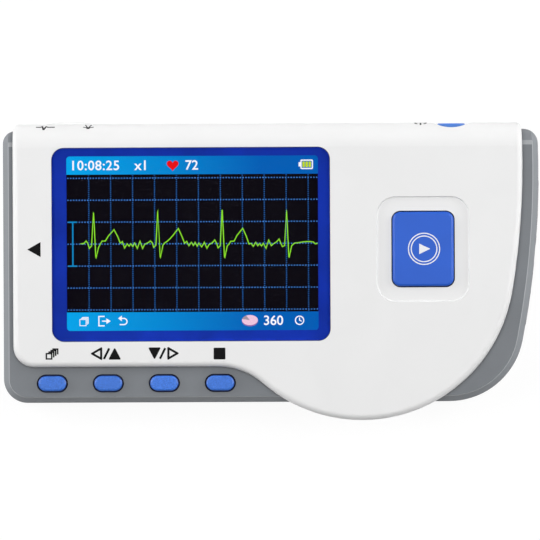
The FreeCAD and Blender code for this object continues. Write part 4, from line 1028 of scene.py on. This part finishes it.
class RECORDER_OT_signs(bpy.types.Operator):
    """Puts plain numbers and generic signs into the picture's two bars."""

    bl_idname = "recorder.signs"
    bl_label = "Screen Signs"

    def execute(self, context):
        left, _, low_edge, high_edge = picture_edges(context.scene.recorder_screen)
        low, high = SIGN_LEVELS
        upper, lower, tall = high_edge - 3.24, low_edge + 1.15, 2.28

        white = bmesh.new()
        for text, across, level, spacing in (
                ("10:08:25", 1.35, upper, 1.08), ("x1", 15.8, upper, 1.0),
                ("72", 27.8, upper, 1.0), ("360", 46.0, lower, 1.0)):
            add_number(white, text, left + across, level, tall, low, high, spacing)
        # the battery and the nub at its left end
        x, y = left + 54.78, upper + 1.18
        add_stroke(white, rounded_points(x + 1.35, y, 2.65, 1.95, 0.12, 3), 0.28, low, high, True)
        add_prism(white, box_points(x - 0.55, y - 0.5, x, y + 0.5), low, high)
        add_page_stack(white, left + 2.95, lower + 0.05, 1.45, (0.25, 0.24), 0.17, low, high, 2)
        # a sign for leaving, an open door frame with an arrow out of it, and a sign for going
        # back, a hooked arrow
        leave, back = (left + 7.4, lower), (left + 11.9, lower)
        hook = circle_points(1.35, 1.0, 0.72, 12, -90.0, 90.0)
        for points, spot in (([(1.35, 2.2), (0, 2.2), (0, 0), (1.35, 0)], leave),
                             ([(0.75, 1.1), (2.0, 1.1)], leave),
                             ([(0.35, 0.28), *hook, (0.75, 1.72)], back)):
            add_stroke(white, placed(points, *spot), 0.27, low, high)
        for head, spot in (([(1.75, 0.45), (2.75, 1.1), (1.75, 1.75)], leave),
                           ([(0.85, 1.05), (0.85, 2.4), (0, 1.72)], back)):
            add_prism(white, placed(head, *spot), low, high)
        # a small clock beside the minutes
        x, y = left + 54.3, lower + 1.1
        add_ring(white, x, y, 2.2, 0.26, low, high, 32)
        add_stroke(white, placed([(0, 0.65), (0, 0), (0.5, -0.2)], x, y), 0.22, low, high)
        made = lit("White signs", (0.98, 0.98, 1.0), strength=1.05, depth=0.05)
        finish_piece("picture_signs", white, made)

        heart = heart_points(left + 24.8, upper + 1.15, 2.75)
        add_plates("picture_heart", [heart], low, high, lit("Red heart", (0.93, 0.06, 0.08)))
        x, y = left + 55.13, upper + 0.53
        blocks = [box_points(x + start, y, x + start + 0.56, y + 1.3) for start in (0, 0.72, 1.44)]
        add_plates("picture_charge", blocks, low, high, lit("Charge green", (0.76, 0.87, 0.10)))

        # the used memory: a disc seen from an angle, with its side below and a slice on top
        x, y, radius, flat = left + 42.7, lower + 1.2, 1.85, 0.64
        disc, arc = (
            [(across, y + (up - y) * flat) for across, up in circle_points(x, y, radius, *turns)]
            for turns in ((40,), (10, 118, 168)))
        layer = 0.01
        add_plates("picture_memory_side", [placed(disc, 0, -0.26)], low - layer, high - layer,
                   lit("Memory side", (0.60, 0.42, 0.68)))
        add_plates("picture_memory", [disc], low, high,
                   lit("Memory pink", (0.965, 0.80, 0.895)))
        add_plates("picture_memory_used", [[(x, y), *arc]], high, high + layer,
                   lit("Memory grey", (0.66, 0.60, 0.66)))
        return {"FINISHED"}


# ---------------------------------------------------------------- printed marks
class RECORDER_OT_cover_marks(bpy.types.Operator):
    """Prints the generic signs over the small keys and the arrow at the left edge."""

    bl_idname = "recorder.cover_marks"
    bl_label = "Cover Marks"

    def execute(self, context):
        marks = context.scene.recorder_marks
        low, high = COVER_HIGH.z - INK_ROOT, COVER_HIGH.z + marks.height / MM
        line, soft = marks.line / MM, 0.2
        # the line that the signs stand on, and the middle of the key below each sign
        row = -19.2
        keys = [(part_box(name)[0].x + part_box(name)[1].x) / 2 / MM for name in KEY_NODES]
        mesh = bmesh.new()
        add_page_stack(mesh, keys[0] - 1.31, row - 1.18, 1.24, (0.47, 0.35), 0.34, low, high)
        # an outlined and a filled arrow with a slash between them: left and up, down and right
        slash = [(-0.95, -1.25), (0.28, 1.22)]
        for x, outlined, filled in (
                (keys[1], [(-1.60, -1.20), (-1.60, 1.20), (-3.70, 0)],
                 [(0.06, -1.42), (3.06, -1.42), (1.56, 1.46)]),
                (keys[2], [(1.02, 1.20), (1.02, -1.20), (3.12, 0)],
                 [(-3.72, 1.40), (-2.22, -1.48), (-0.72, 1.40)])):
            add_stroke(mesh, placed(outlined, x, row), line, low, high, closed=True, soft=soft)
            add_stroke(mesh, placed(slash, x, row), line, low, high)
            add_prism(mesh, softened(placed(filled, x, row), soft), low, high)
        square = rounded_points(keys[3] - 0.12, row - 0.1, 2.74, 2.74, soft, 4)
        add_prism(mesh, square, low, high)
        edge_arrow = [(-1.55, 0), (1.55, -1.75), (1.55, 1.75)]
        add_prism(mesh, placed(edge_arrow, -55.3, 5.17), low, high)
        finish_piece("cover_marks", mesh, ink_material("Black print", marks.ink))
        return {"FINISHED"}


def over_edge(flat, bend):
    """Where a spot of a flat drawing lies on the rolled upper edge: up goes over the bend."""
    x, along, height = flat
    top, face = COVER_HIGH.y, COVER_HIGH.z
    quarter = bend * math.pi / 2
    if along <= 0:
        return Vector((x, top - bend + along, face + height))
    if along >= quarter:
        return Vector((x, top + height, face - bend - (along - quarter)))
    turn, reach = along / bend, bend + height
    return Vector((x, top - bend + reach * math.sin(turn), face - bend + reach * math.cos(turn)))


class RECORDER_OT_top_marks(bpy.types.Operator):
    """Prints the wave, plug and power signs where the cover rolls over to the top side."""

    bl_idname = "recorder.top_marks"
    bl_label = "Top Side Marks"

    def execute(self, context):
        marks = context.scene.recorder_marks
        low, high, line = -INK_ROOT, marks.height / MM, 0.36
        # the bend's radius, how far over it the signs' middle is, and half the signs' height
        bend = 5.5
        middle, half = bend * math.radians(66), 3.2
        mesh = bmesh.new()
        # the signs stand upright for a hand that sees the top side, so upside down from in front
        wave = [(-54.8, 0), (-53.7, 0), (-53.3, 0.35), (-53.08, -0.95), (-52.92, -0.95),
                (-52.4, 0.3), (-52.05, 0), (-50.4, 0)]
        add_stroke(mesh, placed(wave, 0, middle - 0.45), line, low, high)
        # a plug with its leads fanning out
        plug_x = -42.6
        body = [(-0.38, -1.25), (0.38, -1.25), (0.30, -0.55), (-0.30, -0.55)]
        add_prism(mesh, placed(body, plug_x, middle), low, high)
        for near, far, end in ((-0.34, -1.15, -0.5), (-0.18, -0.68, 0.95), (0.18, 0.76, 0.8),
                               (0.34, 1.3, -0.5)):
            lead = placed([(near, -0.78), (far, end)], plug_x, middle)
            add_stroke(mesh, lead, 0.26, low, high)
        # a ring with a gap and a line through it
        x, y = 35.1, middle + 1.55
        add_stroke(mesh, circle_points(x, y, 1.3, 28, -54.0, 234.0), line, low, high)
        add_stroke(mesh, placed([(0, -1.65), (0, -0.25)], x, y), line, low, high)
        # cut into narrow strips that can follow the bend
        along, strip = middle - half, 0.25
        while along < middle + half:
            everything = mesh.verts[:] + mesh.edges[:] + mesh.faces[:]
            bmesh.ops.bisect_plane(mesh, geom=everything, plane_co=(0, along, 0),
                                   plane_no=(0, 1, 0), dist=0.001)
            along += strip
        for spot in mesh.verts:
            spot.co = over_edge(spot.co, bend)
        finish_piece("top_marks", mesh, ink_material("Black side print", marks.ink))
        return {"FINISHED"}


class RECORDER_OT_start_mark(bpy.types.Operator):
    """Prints the double ring and the triangle on the start key."""

    bl_idname = "recorder.start_mark"
    bl_label = "Start Key Mark"

    def execute(self, context):
        marks = context.scene.recorder_marks
        x = (START_LOW.x + START_HIGH.x) / 2 + 0.22
        y = (START_LOW.y + START_HIGH.y) / 2 + 0.03
        # the ink is pressed into the key and stands hardly over its top
        low, high = START_HIGH.z - 0.01, START_HIGH.z + 0.012
        ring, line = marks.ring / MM, marks.ring_line / MM
        mesh = bmesh.new()
        for diameter in (ring, ring - 5.0 * line):
            add_ring(mesh, x, y, diameter, line, low, high)
        triangle = [(-1.13, -1.22), (1.45, 0), (-1.13, 1.22)]
        add_prism(mesh, placed(triangle, x, y), low, high)
        finish_piece("start_mark", mesh, ink_material("White key print", marks.key_ink),
                     body="start_button")
        return {"FINISHED"}


class RECORDER_OT_contacts(bpy.types.Operator):
    """Lays the gold contact strips on the tongue inside the small socket."""

    bl_idname = "recorder.contacts"
    bl_label = "Socket Contacts"

    def execute(self, context):
        gold = metal("Gold contact", (0.90, 0.72, 0.36), (1, 0.1, 1), scale=1500.0)
        middle = (TONGUE_LOW + TONGUE_HIGH) / 2
        values = {
            "Across": 5, "Along": 1, "Pitch across": 0.9 * MM, "Pitch along": 1.0 * MM,
            "Block length": 0.42 * MM, "Block width": 3.6 * MM, "Block height": 0.05 * MM,
            "Middle X": middle.x * MM, "Middle Y": (TONGUE_HIGH.y - 2.2) * MM}
        # the strips lie on the lower side of the tongue, which is in the middle of its box
        half_tongue, shown = 0.35, 0.04
        grown_piece("socket_contacts", rows_tree("Contact strips", gold), values,
                    middle.z - half_tongue - shown)
        return {"FINISHED"}


# ---------------------------------------------------------------- studio
def soft_lamp(name, place, aim, length, width, power):
    lamp = bpy.data.lights.new(name, "AREA")
    lamp.shape = "RECTANGLE"
    lamp.size, lamp.size_y = length, width
    lamp.energy = power
    holder = add_object(name, lamp)
    holder.location = place
    holder.rotation_mode = "QUATERNION"
    holder.rotation_quaternion = (Vector(aim) - Vector(place)).to_track_quat("-Z", "Y")


def surroundings(studio):
    """A pale tent that is dark straight overhead, where the camera looks in."""
    world = bpy.data.worlds.new("Studio tent")
    world.use_nodes = True
    tree = world.node_tree
    tree.nodes.clear()
    way = add_node(tree, "ShaderNodeTexCoord").outputs["Generated"]
    fade_starts, fade_ends, overhead = 0.80, 0.97, 0.01
    light = remap(tree, axes_of(tree, way)[2], fade_starts, fade_ends, studio.fill, overhead)
    tent, white = (
        first_of(tree, "ShaderNodeBackground", {0: (1, 1, 1, 1), 1: power})
        for power in (light, 1.0))
    seen = add_node(tree, "ShaderNodeLightPath").outputs["Is Camera Ray"]
    add_node(tree, "ShaderNodeOutputWorld", {0: blend_shaders(tree, seen, tent, white)})
    bpy.context.scene.world = world


def table_material(studio):
    """Pale, and nearly white where it is seen, with the object's soft shadow left."""
    made, tree = empty_material("Pale table")
    plain = first_of(tree, "ShaderNodeBsdfDiffuse", {0: linear(studio.floor)})
    # the shadow is seen against a glare, so its own surface is made a little stronger
    grey = studio.shadow * 1.3
    shaded = first_of(tree, "ShaderNodeBsdfDiffuse", {0: (grey, grey, grey, 1.0)})
    glare = first_of(tree, "ShaderNodeEmission", {0: (1, 1, 1, 1), 1: 1.0 - studio.shadow})
    seen = first_of(tree, "ShaderNodeAddShader", {0: shaded, 1: glare})
    path = add_node(tree, "ShaderNodeLightPath").outputs
    direct = calculate(
        tree, "MAXIMUM", path["Is Camera Ray"],
        calculate(tree, "MAXIMUM", path["Is Glossy Ray"], path["Is Transmission Ray"]))
    # seen from below, and for the lamp below, the table isn't there
    back = add_node(tree, "ShaderNodeNewGeometry").outputs["Backfacing"]
    below = calculate(tree, "MAXIMUM", back, path["Is Shadow Ray"])
    clear = first_of(tree, "ShaderNodeBsdfTransparent")
    top = blend_shaders(tree, direct, plain, seen)
    add_node(tree, "ShaderNodeOutputMaterial", {0: blend_shaders(tree, below, top, clear)})
    return made


def table_top(studio):
    """The pale table, a hair below the object, and six metres wide."""
    drop, half = 0.02 * MM, 3.0
    mesh = bmesh.new()
    bmesh.ops.create_grid(mesh, x_segments=1, y_segments=1, size=half)
    data = bpy.data.meshes.new("table_top")
    mesh.to_mesh(data)
    mesh.free()
    data.transform(Matrix.Translation((0, 0, -drop)))
    data.materials.append(table_material(studio))
    floor = add_object("table_top", data)


class RECORDER_OT_studio(bpy.types.Operator):
    """Sets the table, the soft lights, the pale surroundings and the camera."""

    bl_idname = "recorder.studio"
    bl_label = "Studio"

    def execute(self, context):
        studio = context.scene.recorder_studio
        context.scene.view_settings.view_transform = "Standard"
        surroundings(studio)
        table_top(studio)
        # each lamp's place, length and width, in metres, and its power; all look at the object
        aim = (0.0, 0.0, 0.01)
        lamps = {}
        for side, way in (("Left", -1), ("Right", 1)):
            lamps[side + " strip"] = (way * 0.74, 0.28, 0.19), 0.6, 0.16, studio.strip_light
            lamps[side + " light"] = (way * 0.40, 0.08, 0.66), 0.35, 0.35, studio.side_light
        lamps["Top light"] = (0.0, 0.66, 0.42), 0.8, 0.35, studio.top_light
        lamps["Under light"] = (0.0, -0.1, -0.7), 0.9, 0.9, studio.under_light
        for name, (place, length, width, power) in lamps.items():
            soft_lamp(name, place, aim, length, width, power)
        lens = bpy.data.cameras.new("Camera")
        lens.sensor_width = 36.0
        lens.lens = lens.sensor_width * studio.distance / studio.view_width
        lens.clip_start, lens.clip_end = 0.01, 10.0
        camera = add_object("Camera", lens)
        turn = Euler(studio.turn)
        back = turn.to_matrix() @ Vector((0, 0, studio.distance))
        # the point aimed at is a millimetre below the cover's top
        aim_z = COVER_HIGH.z * MM - 1.0 * MM
        camera.location = Vector((studio.aim_x, studio.aim_y, aim_z)) + back
        camera.rotation_euler = turn
        context.scene.camera = camera
        return {"FINISHED"}


class RECORDER_PT_panel(bpy.types.Panel):
    """Lists the steps that dress the recorder."""

    bl_label = "Recorder"
    bl_idname = "RECORDER_PT_panel"
    bl_space_type = "VIEW_3D"
    bl_region_type = "UI"
    bl_category = "Recorder"

    def draw(self, context):
        for operator in OPERATORS:
            self.layout.operator(operator.bl_idname)


OPERATORS = (
    RECORDER_OT_shell, RECORDER_OT_fittings, RECORDER_OT_border, RECORDER_OT_picture,
    RECORDER_OT_trace, RECORDER_OT_signs, RECORDER_OT_cover_marks, RECORDER_OT_top_marks,
    RECORDER_OT_start_mark, RECORDER_OT_contacts, RECORDER_OT_studio,
)
GROUPS = {
    "recorder_shell": RecorderShell, "recorder_screen": RecorderScreen,
    "recorder_marks": RecorderMarks, "recorder_studio": RecorderStudio,
}


def register():
    for group in GROUPS.values():
        bpy.utils.register_class(group)
    for name, group in GROUPS.items():
        setattr(bpy.types.Scene, name, PointerProperty(type=group))
    for operator in OPERATORS:
        bpy.utils.register_class(operator)
    bpy.utils.register_class(RECORDER_PT_panel)


def unregister():
    bpy.utils.unregister_class(RECORDER_PT_panel)
    for operator in reversed(OPERATORS):
        bpy.utils.unregister_class(operator)
    for name, group in GROUPS.items():
        delattr(bpy.types.Scene, name)
        bpy.utils.unregister_class(group)


def main():
    register()
    bpy.ops.recorder.shell()
    bpy.ops.recorder.fittings()
    bpy.ops.recorder.border()
    bpy.ops.recorder.picture()
    bpy.ops.recorder.trace()
    bpy.ops.recorder.signs()
    bpy.ops.recorder.cover_marks()
    bpy.ops.recorder.top_marks()
    bpy.ops.recorder.start_mark()
    bpy.ops.recorder.contacts()
    bpy.ops.recorder.studio()


if __name__ == "__main__":
    main()
